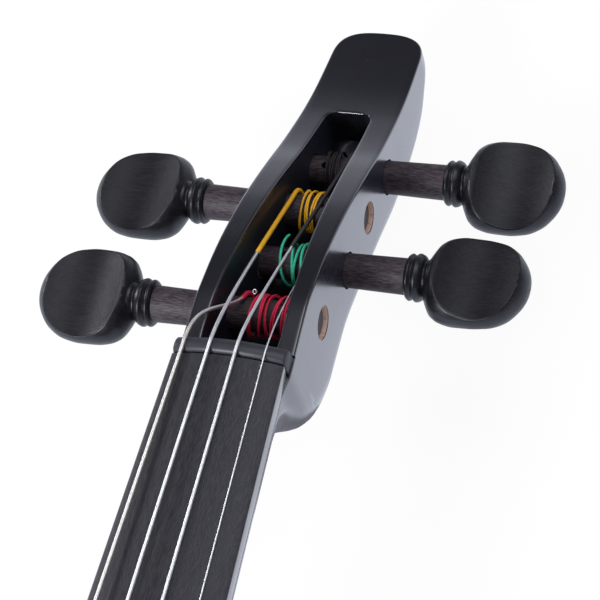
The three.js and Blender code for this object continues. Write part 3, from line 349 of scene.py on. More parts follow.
@dataclass(frozen=True)
class SprayedLacquer(Finish):
    """Black satin lacquer sprayed on carved wood: deep colour with a soft, slightly uneven sheen."""

    ior: float = 1.5
    coat: float = 0.0
    orange_peel_mm: float = 1.4
    relief_mm: float = 0.004

    def dress(self, on: Surface) -> None:
        """Add orange peel and a faint change of sheen.

        Args:
            on: the material's surface.
        """
        on.fill(on.shader, {
            "IOR": self.ior, "Specular Tint": linear(COOL_SHINE), "Sheen Tint": linear(COOL_HAZE),
            "Sheen Weight": 0.07, "Sheen Roughness": 0.3, "Coat Weight": self.coat, "Coat Roughness": 0.2,
        })
        on.relief(on.cells((self.orange_peel_mm,) * 3, 2.0), self.relief_mm, 0.5)
        on.haze(on.cells((22, 22, 22), 4.0, 3.0), self.roughness - 0.03, self.roughness + 0.05)


@dataclass(frozen=True)
class PegboxLacquer(SprayedLacquer):
    """The same lacquer, left dull inside the pegbox where no polishing cloth reaches."""

    inside: tuple[float, float] = (0.279, 0.15)
    inside_end_mm: float = 409.0
    dullness: float = 0.24

    def dress(self, on: Surface) -> None:
        """Raise the roughness and drop the clear coat between the cheeks."""
        super().dress(on)
        dull = on.stripes([self.inside], 1, self.inside_end_mm)
        on.shift_there("Roughness", dull, self.dullness)
        on.shift_there("Coat Weight", dull, -0.8 * self.coat)


@dataclass(frozen=True)
class OpenPoredWood(Finish):
    """Dark hardwood: short dark pores along the grain over slow light and dark bands."""

    light: str = "#5a545a"
    pore: str = "#0d0b0d"
    pore_mm: Point = (0.26, 4.5, 0.26)
    band_mm: Point = (1.6, 60.0, 1.6)
    pore_edges: Point = (0.41, 0.59)
    relief_mm: float = 0.03

    def dress(self, on: Surface) -> None:
        """Add bands, pores and their relief.

        Args:
            on: the material's surface.
        """
        bands = on.cells(self.band_mm, 4.0, 5.0)
        ground = on.add("ValToRGB", {0: bands}, [(0.36, self.colour), (0.64, self.light)])
        low, high = self.pore_edges
        pores = on.add("MapRange", {0: on.cells(self.pore_mm, 2.0), 1: low, 2: high, 3: 0.0, 4: 1.0})
        wood = on.add("Mix", {0: pores, 6: linear(self.pore), 7: ground}, out=2, data_type="RGBA")
        on.fill(on.shader, {"Base Color": wood, "Specular Tint": linear(COOL_SHINE)})
        on.relief(pores, self.relief_mm, 0.6)
        on.haze(bands, self.roughness - 0.05, self.roughness + 0.06)


@dataclass(frozen=True)
class ThumbWood(OpenPoredWood):
    """Waxed black wood: turned rims and beads rubbed to a shine, dished faces only sanded."""

    faces: Table = ((0.25, 0.103), (0.75, 0.103))
    faces_end_mm: float = 49.6
    face_dullness: float = 0.13
    face_shine: float = -0.12

    def dress(self, on: Surface) -> None:
        """Make the two dished faces rougher than the rims."""
        super().dress(on)
        faces = on.stripes(self.faces, 0, self.faces_end_mm)
        on.shift_there("Roughness", faces, self.face_dullness)
        on.shift_there("Specular IOR Level", faces, self.face_shine)


@dataclass(frozen=True)
class BoardWood(OpenPoredWood):
    """Stained fingerboard wood: sanded on top, its two edges lacquered with the neck."""

    edges: Table = ((0.567, 0.032), (0.956, 0.04))
    edge_coat: float = 1.0
    edge_ior: float = 1.8

    def dress(self, on: Surface) -> None:
        """Coat the two edges.

        Args:
            on: the material's surface.
        """
        super().dress(on)
        on.fill(on.shader, {"Coat Roughness": 0.2, "Coat IOR": self.edge_ior})
        edges = on.stripes(self.edges)
        on.shift_there("Coat Weight", edges, self.edge_coat)
        on.shift_there("Roughness", edges, -0.2)


@dataclass(frozen=True)
class BareMaple(Finish):
    """Unvarnished maple: warm pale wood with short dark flecks."""

    fleck: str = "#8a5f33"
    fleck_mm: Point = (2.2, 0.5, 0.35)

    def dress(self, on: Surface) -> None:
        """Add flecks and a soft grain.

        Args:
            on: the material's surface.
        """
        grain = on.cells((14, 0.8, 0.8), 4.0, 2.0)
        soft = on.add("MapRange", {0: grain, 1: 0.25, 2: 0.75, 3: 0.05, 4: 0.3})
        mixed = on.add("Math", {0: on.cells(self.fleck_mm, 2.0), 1: 0.6, 2: soft}, operation="MULTIPLY_ADD")
        on.coloured(mixed, [(0.3, self.fleck), (0.46, self.colour), (0.8, self.colour)])
        on.relief(grain, 0.02, 0.4)


@dataclass(frozen=True)
class LappedThread(Finish):
    """Silk thread lapped round a string end: fine slanted turns with a soft sheen."""

    # painted shade: the colour that the grooves between the laps are darkened toward
    painted_groove_shade: str = "#000000"
    lap_mm: float = 0.36

    def dress(self, on: Surface) -> None:
        """Add the slanted laps, a painted shade in the grooves between them and a sheen.

        The laps are drawn a little coarser than real silk so that they show.

        Args:
            on: the material's surface.
        """
        sheen = {"Sheen Weight": 0.35, "Sheen Tint": linear(self.colour), "Sheen Roughness": 0.4}
        on.fill(on.shader, sheen)
        lap = on.laps(self.lap_mm, 1.0)
        ridge = on.add("MapRange", {0: lap, 1: 0.0, 2: 1.0, 3: 0.1, 4: 0.7})
        mixed = on.add("Math", {0: on.cells((0.5, 0.5, 0.5)), 1: 0.35, 2: ridge}, operation="MULTIPLY_ADD")
        # The grooves between laps are darkened toward the painted shade colour; the noise adds uneven tone of
        # the silk itself.
        on.coloured(mixed, [(0.12, self.painted_groove_shade), (0.5, self.colour), (0.9, self.colour)])
        on.relief(lap, 0.08, 0.8)


@dataclass(frozen=True)
class WoundMetal(Finish):
    """Polished flat metal tape wound round a core: bright, with hairline joints between turns."""

    lap_mm: float = 0.3

    def dress(self, on: Surface) -> None:
        """Add the joints between turns and a little handling haze."""
        on.fill(on.shader, {"Metallic": 1.0})
        on.relief(on.laps(self.lap_mm, 0.0), 0.004, 0.4)
        on.haze(on.cells((1.5, 1.5, 1.5), 4.0), self.roughness - 0.06, self.roughness + 0.1)


@dataclass(frozen=True)
class MouldedPlastic(Finish):
    """Moulded plastic: even colour with a fine spark-eroded texture that softens the gloss."""

    texture_mm: float = 0.5
    relief_mm: float = 0.015

    def dress(self, on: Surface) -> None:
        """Add the moulded texture and a faint change of sheen."""
        on.relief(on.cells((self.texture_mm,) * 3, 2.0), self.relief_mm, 0.5)
        on.haze(on.cells((15, 15, 15), 3.0, 4.0), self.roughness - 0.04, self.roughness + 0.06)


@dataclass(frozen=True)
class PlatedMetal(Finish):
    """Turned and plated metal: bright, with faint tool lines and touched patches."""

    def dress(self, on: Surface) -> None:
        """Make it metal, with a little haze in the shine."""
        on.fill(on.shader, {"Metallic": 1.0})
        on.relief(on.cells((0.12, 0.12, 3.0), 2.0, 7.0), 0.006, 0.4)
        on.haze(on.cells((2.5, 2.5, 2.5), 4.0), self.roughness - 0.08, self.roughness + 0.12)


@dataclass(frozen=True)
class PressedCork(Finish):
    """Sheet cork: warm brown grains of mixed tone with dark pits."""

    dark: str = "#5b3a22"
    pale: str = "#c39a68"

    def dress(self, on: Surface) -> None:
        """Add grains and pits."""
        grains = on.cells((1.3, 1.3, 1.3), 4.0)
        on.coloured(grains, [(0.34, self.dark), (0.46, self.colour), (0.62, self.pale)])
        on.relief(grains, 0.12, 0.7)


@dataclass(frozen=True)
class EtchedBoard(Finish):
    """Circuit board under green solder mask: slightly paler where copper runs below."""

    copper: str = "#3c7a45"

    def dress(self, on: Surface) -> None:
        """Add the paler runs."""
        runs = on.cells((6.0, 0.9, 6.0), 0.0)
        on.coloured(runs, [(0.47, self.colour), (0.5, self.copper), (0.53, self.colour)])


class Look(Enum):
    """The violin's finishes."""

    LACQUER = PegboxLacquer("satin_black_lacquer", "#101014", 0.26, ior=1.6, coat=0.8)
    BODY_LACQUER = SprayedLacquer("satin_black_body_lacquer", "#121215", 0.3, ior=1.5, coat=0.5)
    FINGERBOARD = BoardWood(
        "stained_fingerboard_wood", "#201e23", 0.5, light="#29272d", pore="#141316", pore_mm=(0.2, 2.2, 0.2),
        relief_mm=0.02,
    )
    PEG_SHAFT = OpenPoredWood(
        "bare_peg_wood", "#3b2f34", 0.55, light="#463a3f", pore="#1a1315", pore_mm=(1.8, 0.24, 0.24),
        band_mm=(40.0, 0.9, 0.9),
    )
    PEG_HEAD = ThumbWood(
        "waxed_black_peg_wood", "#100f13", 0.36, light="#19171c", pore="#0a090b", pore_mm=(3.0, 0.3, 0.3),
        band_mm=(30.0, 1.4, 1.4), relief_mm=0.01,
    )
    NUT = SprayedLacquer("polished_black_nut", "#26262c", 0.5, ior=1.5, coat=0.1, relief_mm=0.006)
    HOLE_WOOD = BareMaple(
        "bare_wood_in_the_holes", "#c4a698", 0.75, fleck="#5d453e", fleck_mm=(0.9, 0.4, 0.4),
    )
    BRIDGE_MAPLE = BareMaple("bare_bridge_maple", "#d2a468", 0.55)
    # Each silk's second colour is a painted shade for the grooves between its laps.
    SILK_G = LappedThread("crimson_silk", "#dc1446", 0.5, painted_groove_shade="#7a0c26")
    SILK_D = LappedThread("golden_silk", "#f0b414", 0.5, painted_groove_shade="#a87107")
    SILK_A = LappedThread("black_silk", "#1a181d", 0.5, painted_groove_shade="#050506")
    SILK_E = LappedThread("teal_silk", "#3cc9a4", 0.5, painted_groove_shade="#128067")
    WARM_WIRE = WoundMetal("warm_wound_wire", "#ebe7e3", 0.46)
    COLD_WIRE = WoundMetal("silver_wound_wire", "#eeeff2", 0.44)
    PLAIN_WIRE = WoundMetal("plain_bright_wire", "#eaebee", 0.4, lap_mm=40.0)
    MOULDED = MouldedPlastic("moulded_black_plastic", "#1b1b1e", 0.48)
    SMOOTH_MOULDED = MouldedPlastic("smooth_black_plastic", "#19191c", 0.34, relief_mm=0.006)
    GUT = MouldedPlastic("black_nylon_gut", "#151517", 0.4, texture_mm=0.3)
    NICKEL = PlatedMetal("nickel_plate", "#c6c5c1", 0.28)
    BLACK_SCREW = PlatedMetal("black_oxide_steel", "#3a3a3e", 0.4)
    BRASS = PlatedMetal("turned_brass", "#c79f4e", 0.26)
    CORK = PressedCork("pressed_cork", "#a5774a", 0.85)
    BOARD = EtchedBoard("green_circuit_board", "#14532a", 0.35)
    CELL = MouldedPlastic("battery_jacket", "#4a4d54", 0.35)


# Meshes


class Skin:
    """Quad skin that grows ring by ring, with a UV map that runs round and along it."""

    def __init__(self, first: Sequence[Point]) -> None:
        """Start from one ring of points in millimetres."""
        self.bm = bmesh.new()
        self.ring = list(bmesh.ops.create_circle(self.bm, segments=len(first), radius=MM)["verts"])
        self.rows = [self.ring]
        self.move(first)

    def move(self, points: Sequence[Point]) -> None:
        """Put the last ring's vertices at these points in millimetres."""
        for vert, point in zip(self.ring, points):
            vert.co = Vector(point) * MM

    def grow(self, points: Sequence[Point]) -> None:
        """Extrude the last ring to new points.

        Args:
            points: the next ring in millimetres, in the same order.
        """
        count = len(self.ring)
        edges = [self.bm.edges.get((self.ring[i], self.ring[(i + 1) % count])) for i in range(count)]
        made = bmesh.ops.extrude_edge_only(self.bm, edges=edges)
        fresh = {piece for piece in made["geom"] if isinstance(piece, bmesh.types.BMVert)}
        self.ring = [
            next(edge.other_vert(vert) for edge in vert.link_edges if edge.other_vert(vert) in fresh)
            for vert in self.ring
        ]
        self.rows.append(self.ring)
        self.move(points)

    def close(self) -> Mesh:
        """Cover both ends, map the skin and turn its faces out.

        Returns:
            The closed mesh.
        """
        self.map_skin()
        for row in (self.rows[0], self.rows[-1]):
            cap = bmesh.ops.contextual_create(self.bm, geom=row)["faces"]
            bmesh.ops.poke(self.bm, faces=cap)
        bmesh.ops.recalc_face_normals(self.bm, faces=self.bm.faces)
        return self.bm

    def map_skin(self) -> None:
        """Give each quad a UV that counts turns across and metres along."""
        layer = self.bm.loops.layers.uv.new("Skin")
        count = len(self.ring)
        where = {}
        along = 0.0
        for i, row in enumerate(self.rows):
            if i:
                along += sum((a.co - b.co).length for a, b in zip(row, self.rows[i - 1])) / count
            for j, vert in enumerate(row):
                where[vert] = (j / count, along)
        for face in self.bm.faces:
            turns = [where[loop.vert][0] for loop in face.loops]
            wraps = max(turns) - min(turns) > 0.5
            for loop, turn in zip(face.loops, turns):
                loop[layer].uv = (turn + 1 if wraps and turn < 0.5 else turn, where[loop.vert][1])


def grown(rings: Sequence[Sequence[Point]]) -> Mesh:
    """Closed skin over a row of rings."""
    skin = Skin(rings[0])
    for ring in rings[1:]:
        skin.grow(ring)
    return skin.close()


def tube(points: Sequence[Point], radius: float, sides: int = 12) -> Mesh:
    """Round tube along a line of points, rounded over at both ends.

    Args:
        points: the middle line in millimetres.
        radius: the tube's radius.
        sides: facets round the tube.

    Returns:
        The closed tube.
    """
    line = [Vector(p) for p in points]
    head = (line[0] - line[1]).normalized() * radius
    tail = (line[-1] - line[-2]).normalized() * radius
    line = [line[0] + head * 0.6, line[0] + head * 0.35, *line, line[-1] + tail * 0.35, line[-1] + tail * 0.6]
    shares = [0.35, 0.8, *[1] * len(points), 0.8, 0.35]
    rings = []
    across = None
    for i, (centre, share) in enumerate(zip(line, shares)):
        way = way_at(line, i)
        if across is None:
            across = (Vector((0, 0, 1)) if abs(way.z) < 0.9 else Vector((1, 0, 0))).cross(way).normalized()
        across = (across - way * across.dot(way)).normalized()
        third = way.cross(across)
        round_it = arc((0, 0), radius * share, 0, 360, sides)[:-1]
        rings.append([centre + across * a + third * b for a, b in round_it])
    return grown(rings)


AXIS_TURNS = {
    "x": Matrix.Rotation(pi / 2, 4, "Y"), "-x": Matrix.Rotation(-pi / 2, 4, "Y"),
    "y": Matrix.Rotation(-pi / 2, 4, "X"), "-y": Matrix.Rotation(pi / 2, 4, "X"),
    "z": Matrix.Identity(4),
}


def moved(bm: Mesh, matrix: Matrix) -> Mesh:
    """Move and turn a mesh."""
    bmesh.ops.transform(bm, matrix=matrix, verts=bm.verts)
    return bm


def sealed(bm: Mesh, reach: float = MERGE) -> Mesh:
    """Merge points that meet and turn the faces out."""
    bmesh.ops.remove_doubles(bm, verts=bm.verts, dist=reach)
    bmesh.ops.recalc_face_normals(bm, faces=bm.faces)
    return bm


def turned(profile: Sequence[Point], axis: str, at: Point, sides: int = 48) -> Mesh:
    """Turned piece, spun from its profile.

    Args:
        profile: pairs of distance along the axis and radius, from the axis back to it or round a closed loop.
        axis: "x", "-x", "y", "-y" or "z".
        at: the point that distance 0 stands for.
        sides: facets round the axis.

    Returns:
        The closed piece.
    """
    bm = bmesh.new()
    verts = [bm.verts.new((radius * MM, 0, along * MM)) for along, radius in profile]
    edges = [bm.edges.new(pair) for pair in zip(verts, verts[1:])]
    bmesh.ops.spin(
        bm, geom=verts + edges, cent=(0, 0, 0), axis=(0, 0, 1), angle=TURN, steps=sides, use_merge=True,
        use_duplicate=False,
    )
    return moved(sealed(bm), shift(at) @ AXIS_TURNS[axis])


def rod(radius: float, low: float, high: float, axis: str, at: Point, sides: int = 32) -> Mesh:
    """Plain round rod, used mostly as a drill."""
    return turned([(low, 0), (low, radius), (high, radius), (high, 0)], axis, at, sides)


def block(low: Point, high: Point) -> Mesh:
    """Block between two corners.

    Args:
        low: its lowest corner in millimetres.
        high: its highest corner.

    Returns:
        The block.
    """
    bm = bmesh.new()
    size = [(b - a) * MM for a, b in zip(low, high)]
    middle = [(a + b) / 2 for a, b in zip(low, high)]
    bmesh.ops.create_cube(bm, size=1.0, matrix=shift(middle) @ Matrix.Diagonal((*size, 1)))
    return bm


def combined(parts: Sequence[Mesh]) -> Mesh:
    """All parts in one mesh, each still closed by itself.

    Args:
        parts: the meshes, of which all but the first are freed.

    Returns:
        The first, with the others in it.
    """
    for other in parts[1:]:
        holder = bpy.data.meshes.new("holder")
        other.to_mesh(holder)
        other.free()
        parts[0].from_mesh(holder)
        bpy.data.meshes.remove(holder)
    return parts[0]


def linked(name: str, data: bpy.types.ID) -> bpy.types.Object:
    """New object in the scene."""
    made = bpy.data.objects.new(name, data)
    bpy.context.scene.collection.objects.link(made)
    return made


def filled(name: str, bm: Mesh) -> bpy.types.Mesh:
    """Mesh data from a working mesh, which is freed."""
    mesh = bpy.data.meshes.new(name)
    bm.to_mesh(mesh)
    bm.free()
    return mesh


def carved(bm: Mesh, tools: Sequence[Mesh]) -> Mesh:
    """Cut tools out of a closed mesh.

    Args:
        bm: the mesh to cut.
        tools: closed meshes that don't touch each other.

    Returns:
        The cut mesh, with slits healed that the cut left.
    """
    stock, tool = linked("stock", filled("stock", bm)), linked("tool", filled("tool", combined(tools)))
    cut = stock.modifiers.new("cut", "BOOLEAN")
    cut.operation = "DIFFERENCE"
    cut.solver = "EXACT"
    cut.object = tool
    result = bmesh.new()
    result.from_mesh(stock.evaluated_get(bpy.context.evaluated_depsgraph_get()).to_mesh())
    for mesh in (stock.data, tool.data):
        bpy.data.meshes.remove(mesh)
    bmesh.ops.remove_doubles(result, verts=result.verts, dist=MERGE)
    bmesh.ops.holes_fill(result, edges=[edge for edge in result.edges if edge.is_boundary], sides=8)
    return result


def cut_in_turn(bm: Mesh, tools: Sequence[Mesh]) -> Mesh:
    """Cut tools that may touch each other out of a closed mesh, one by one."""
    for tool in tools:
        bm = carved(bm, [tool])
    return bm


def bevelled(bm: Mesh, edges: Sequence[bmesh.types.BMEdge], width: float, segments: int) -> Mesh:
    """Round some of a piece's edges.

    Args:
        bm: the piece.
        edges: its edges.
        width: width of the bevel in millimetres.
        segments: steps across the bevel.

    Returns:
        The same piece.
    """
    bmesh.ops.bevel(
        bm, geom=edges, offset=width * MM, offset_type="OFFSET", segments=segments, profile=0.5,
        affect="EDGES", clamp_overlap=True, material=-1,
    )
    return bm


def eased(bm: Mesh, width: float, angle: float = 50.0, segments: int = 3) -> Mesh:
    """Round every edge sharper than an angle.

    Args:
        bm: the mesh to ease.
        width: bevel width in millimetres.
        angle: smallest angle between faces, in degrees, that counts as an edge.
        segments: facets across the bevel.

    Returns:
        The mesh.
    """
    limit = radians(angle)
    edges = [e for e in bm.edges if len(e.link_faces) == 2 and e.calc_face_angle(0) > limit]
    return bevelled(bm, edges, width, segments)


def publish(
    bm: Mesh, name: str, look: Look, stands_for: Sequence[str] = (), sharp: float = 35.0,
    body: str = "instrument",
) -> None:
    """Make a finished mesh one of the violin's pieces.

    Args:
        bm: the mesh, freed here.
        name: the piece's name.
        look: its finish.
        stands_for: CAD nodes that it replaces.
        sharp: angle in degrees above which an edge stays crisp.
        body: the CAD body that it rides on.
    """
    mesh = filled(name, bm)
    mesh.polygons.foreach_set("use_smooth", [True] * len(mesh.polygons))
    mesh.set_sharp_from_angle(angle=radians(sharp))
    mesh.materials.append(look.value.material())
    piece = linked(name, mesh)
    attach(piece, body)
    if stands_for:
        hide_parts(*stands_for)
    LOG.info("%s: %d faces", name, len(mesh.polygons))


# Shared sizes


@dataclass(frozen=True)
class Sizes:
    """Sizes that several pieces share, in millimetres."""

    seat_gap: float = 0.3
    string_length: float = 328.0
    board_height: float = 62.0
    board_length: float = 270.0
    board_nut_half: float = 12.05
    board_end_half: float = 21.0
    board_edge: float = 4.2
    board_slant: float = 0.37
    crown_radius: float = 42.0
    nut_length: float = 4.5
    nut_rise: float = 0.55
    nut_spacing: float = 5.9
    nut_shift: float = -0.9
    bridge_spacing: float = 11.27
    bridge_tilt: float = 2.0
    body_length: float = 356.0
    body_upper_end: float = 198.0072
    body_half: float = 36.0
    body_depth: float = 40.0
    saddle_half: float = 17.0
    saddle_depth: float = 6.7
    saddle_sink: float = 5.0
    button_shank: float = 3.8
    button_reach: float = 18.0
    gut_radius: float = 1.1
    gut_spread: float = 5.0
    run_gap: float = 0.45

    @property
    def seat(self) -> float:
        """Height of the neck's flat under the fingerboard and the nut."""
        return self.board_height - self.board_edge

    @property
    def body_lower_end(self) -> float:
        """The body's end at the end button."""
        return self.body_upper_end - self.body_length

    def board_half_at(self, from_nut: float) -> float:
        """The fingerboard's half width at a distance from the nut."""
        gain = self.board_end_half - self.board_nut_half
        return self.board_nut_half + gain * from_nut / self.board_length

    def crown_at(self, x: float, half: float) -> float:
        """Rise of the crowned top above its side edges."""
        radius = self.crown_radius
        return sqrt(radius * radius - x * x) - sqrt(radius * radius - half * half)

    def bridge_drop(self, x: float) -> float:
        """Fall of the bridge's tilted crown below its middle."""
        curve = self.crown_radius - sqrt(self.crown_radius ** 2 - x * x)
        return curve + self.bridge_tilt * x / (3 * self.bridge_spacing)


S = Sizes()


# The carved head and neck


@dataclass(frozen=True)
class Head:
    """Neck, heel, open pegbox and head, carved from one piece of wood."""

    length: float = 108.6
    drop: float = 37.5
    half: float = 11.95
    depth: float = 32.0
    corner: float = 0.5
    seat_corner: float = 0.12
    cheek_wall: float = 4.9
    cheek_thinning: float = 1.0
    box_floor: float = 7.4
    box_share: float = 0.7459
    floor_corner: float = 2.45
    neck_stop: float = S.string_length - S.body_upper_end
    neck_depth: float = 19.2
    neck_depth_gain: float = 2.2
    heel_length: float = 24.0
    heel_foot: float = 2.0
    heel_curve: float = 0.95
    heel_straight: Point = (0.01, 0.72)
    front: Table = (
        (0, 0.099), (0.07, 0.088), (0.138, 0.083), (0.205, 0.109), (0.276, 0.157), (0.345, 0.225),
        (0.414, 0.306), (0.483, 0.405), (0.552, 0.512), (0.62, 0.623), (0.691, 0.725), (0.76, 0.812),
        (0.829, 0.88), (0.92, 0.945), (1, 0.993),
    )
    back: Table = (
        (-0.13, 0.6), (-0.09, 0.64), (-0.055, 0.72), (-0.03, 0.81), (0, 0.95), (0.035, 1.06), (0.08, 1.12),
        (0.14, 1.125), (0.24, 1.12), (0.36, 1.21), (0.488, 1.34), (0.617, 1.5), (0.72, 1.58), (0.8, 1.61),
        (0.86, 1.6), (0.905, 1.53), (0.945, 1.42), (0.975, 1.31), (0.993, 1.235), (1, 1.21),
    )
    plan: Table = ((0, 1.045), (0.18, 1.012), (0.46, 1), (0.83, 0.925), (0.92, 0.9), (1, 0.878))
    tip_share: float = 0.08
    tip_squareness: float = 3.1
    straight: Table = (
        (-0.13, 0.01), (-0.09, 0.04), (-0.03, 0.3), (0.05, 0.6), (0.14, 0.76), (0.8, 0.72), (1, 0.5),
    )
    curves: Table = ((-0.13, 1, 1.6), (-0.06, 1, 1.5), (-0.03, 0.9, 1.1), (0, 0.8, 0.8), (1, 0.8, 0.8))
    heel: Table = ((0, 1), (0.3, 0.95), (0.5, 0.76), (0.66, 0.48), (0.8, 0.22), (1, 0))
    end_corner: float = 2.7
    hollow: Table = (
        (0.058, 0.97, 0), (0.062, 0.97, 0.12), (0.11, 1, 0.42), (0.17, 1, 0.72), (0.25, 1, 0.93),
        (0.32, 0.985, 1), (0.43, 0.945, 1), (0.65, 0.875, 1), (0.8, 0.83, 1), (0.9, 0.825, 1),
        (0.955, 0.82, 0.93), (1, 0.82, 0.85),
    )

    @property
    def box_length(self) -> float:
        """Length of the pegbox's hollow from the nut's front edge."""
        return self.length * self.box_share

    def half_at(self, y: float) -> float:
        """Half width of the neck and head.

        Args:
            y: distance past the nut's front edge.

        Returns:
            Half the width in millimetres.
        """
        if y >= 0:
            share = y / self.length
            past = min(max(0.0, 1 - (1 - share) / self.tip_share), 0.9998)
            rounding = (1 - past ** self.tip_squareness) ** (1 / self.tip_squareness)
            return self.half * read_smooth(self.plan, share)[0] * rounding
        fade = max(0.0, 1 + y / S.nut_length)
        seat_half = S.board_half_at(-y) - S.board_slant
        return seat_half + (self.half * self.plan[0][1] - S.board_nut_half + S.board_slant) * fade

    def top_at(self, y: float) -> float:
        """Height of the cheek tops and the head's face, or of the seat under nut and fingerboard."""
        if y < S.nut_length:
            return S.seat
        return S.board_height - self.drop * read_smooth(self.front, y / self.length)[0]

    def bottom_at(self, y: float) -> float:
        """Height of the back of the neck and head.

        Args:
            y: distance past the nut's front edge.

        Returns:
            The height in millimetres.
        """
        share = y / self.length
        if share >= self.back[0][0]:
            return S.board_height - self.depth * read_smooth(self.back, share)[0]
        back = S.board_height - self.neck_depth + self.neck_depth_gain * y / self.neck_stop
        return back + (self.heel_foot - back) * self.heel_at(y)

    def heel_at(self, y: float) -> float:
        """How much of the heel there is: 1 at the body, 0 along the neck."""
        return read_smooth(self.heel, (self.neck_stop + y) / self.heel_length)[0]

    def straight_at(self, y: float) -> float:
        """Share of the side's height that stands straight."""
        if self.neck_stop + y < self.heel_length:
            low, high = self.heel_straight
            return low + (high - low) * self.heel_at(y)
        return read_smooth(self.straight, y / self.length)[0]

    def curve_at(self, y: float) -> tuple[float, float]:
        """Powers of the curve under the straight sides.

        Args:
            y: distance past the nut's front edge.

        Returns:
            The power across and the power down.
        """
        across, down = read_smooth(self.curves, y / self.length)
        heel = self.heel_at(y)
        return across + (self.heel_curve - across) * heel, down + (self.heel_curve - down) * heel

    def hollow_at(self, y: float) -> tuple[float, float]:
        """The hollow's half width and depth.

        Args:
            y: distance past the nut's front edge.

        Returns:
            Half width and depth below the cheek tops.
        """
        along = y / self.box_length
        wide, deep = read_smooth(self.hollow, along)
        near = min(max(y, 0), self.box_length)
        half = self.half_at(near) - self.cheek_wall + self.cheek_thinning * (1 - near / self.box_length)
        round_off = min(1.0, max(0.0, 1 - (self.box_length - y) / self.end_corner))
        half -= self.end_corner * (1 - sqrt(1 - round_off ** 2))
        full = (self.top_at(y) - self.bottom_at(y) - self.box_floor) * deep
        beyond = (y - self.box_length) / self.corner
        if beyond > 0:
            full = self.corner * (1 - sqrt(max(0.0, 1 - (1 - beyond) ** 2))) if beyond < 1 else 0.0
        if y < S.nut_length:
            full = 0.0
        return half * wide, full

    def ring(self, y: float) -> list[Vector]:
        """One closed cross section: outer skin, cheek tops and hollow.

        Args:
            y: distance past the nut's front edge.

        Returns:
            The ring's points.
        """
        half, top, bottom = self.half_at(y), self.top_at(y), self.bottom_at(y)
        across_power, down_power = self.curve_at(y)
        corner = self.corner if y >= S.nut_length else self.seat_corner
        side = top - max(self.straight_at(y) * (top - bottom), 2 * corner)
        inner, deep = self.hollow_at(y)
        inner = min(inner, (half - corner) * 0.9)
        rim = min(self.corner * 0.9, deep * 0.4)
        base = min(self.floor_corner, deep * 0.4, inner * 0.6)
        floor = top - deep
        right = arc((half - corner, top - corner), corner, 0, 90, 4)
        right += [(inner + rim + (half - corner - inner - rim) * s, top) for s in (0.85, 0.12)]
        right += arc((inner + rim, top - rim), rim, 90, 180, 4)
        right += [(inner, floor + base + (top - rim - floor - base) * s) for s in (0.8, 0.6, 0.4, 0.2)]
        right += arc((inner - base, floor + base), base, 0, -90, 5)
        right += [((inner - base) * s, floor) for s in (0.66, 0.33)]
        flank = [(half, top - corner + (side - top + corner) * share) for share in (0.7, 0.35, 0.02)]
        under = []
        for turn in steps_between(0, pi, 30):
            across = -copysign(abs(cos(turn)) ** across_power, cos(turn))
            under.append((half * across, side - (side - bottom) * abs(sin(turn)) ** down_power))
        ring = [*right, (0, floor), *other_side(right), *other_side(flank), *under, *flank]
        return [Vector((x, S.string_length + y, z)) for x, z in ring]

    def stations(self) -> list[float]:
        """Where the cross sections stand, past the nut's front edge.

        Returns:
            The distances, rising.
        """
        heel_end, under_nut, tight = self.heel_length - self.neck_stop, -16, 0.02
        places = steps_between(-self.neck_stop, heel_end, 20)
        places += steps_between(heel_end, under_nut, 14)[1:]
        places += steps_between(under_nut, 0, 16)[1:] + [1.5, 3, S.nut_length - tight, S.nut_length]
        start = self.box_length * self.hollow[1][0]
        end = self.box_length
        places += [start - 0.3, start - 0.15, start]
        places += steps_between(start, end - self.end_corner - 0.4, 80)[1:]
        places += [end - self.end_corner * cos(radians(a)) for a in steps_between(0, 90, 12)]
        places += [end + self.corner * (1 - cos(radians(a))) for a in (8, 25, 45, 65, 90)]
        round_from = 1 - self.tip_share
        places += steps_between(end + 1, round_from * self.length, 16)
        places += [self.length * (1 - self.tip_share * s ** 3) for s in steps_between(0.98, 0, 40)]
        return places

    def build(self, pegs: Sequence["Peg"]) -> None:
        """Carve the head, drill it for the pegs and dress it.

        Args:
            pegs: the pegs that it holds.
        """
        solid = sealed(grown([self.ring(y) for y in self.stations()]), 1.5 * MERGE)
        bm = carved(solid, [peg.hole(self) for peg in pegs])
        publish(bm, "neck_carved", Look.LACQUER, ["neck"], 32)
        for peg in pegs:
            publish(peg.lining(self), f"peg_hole_{peg.name}", Look.HOLE_WOOD, sharp=40)


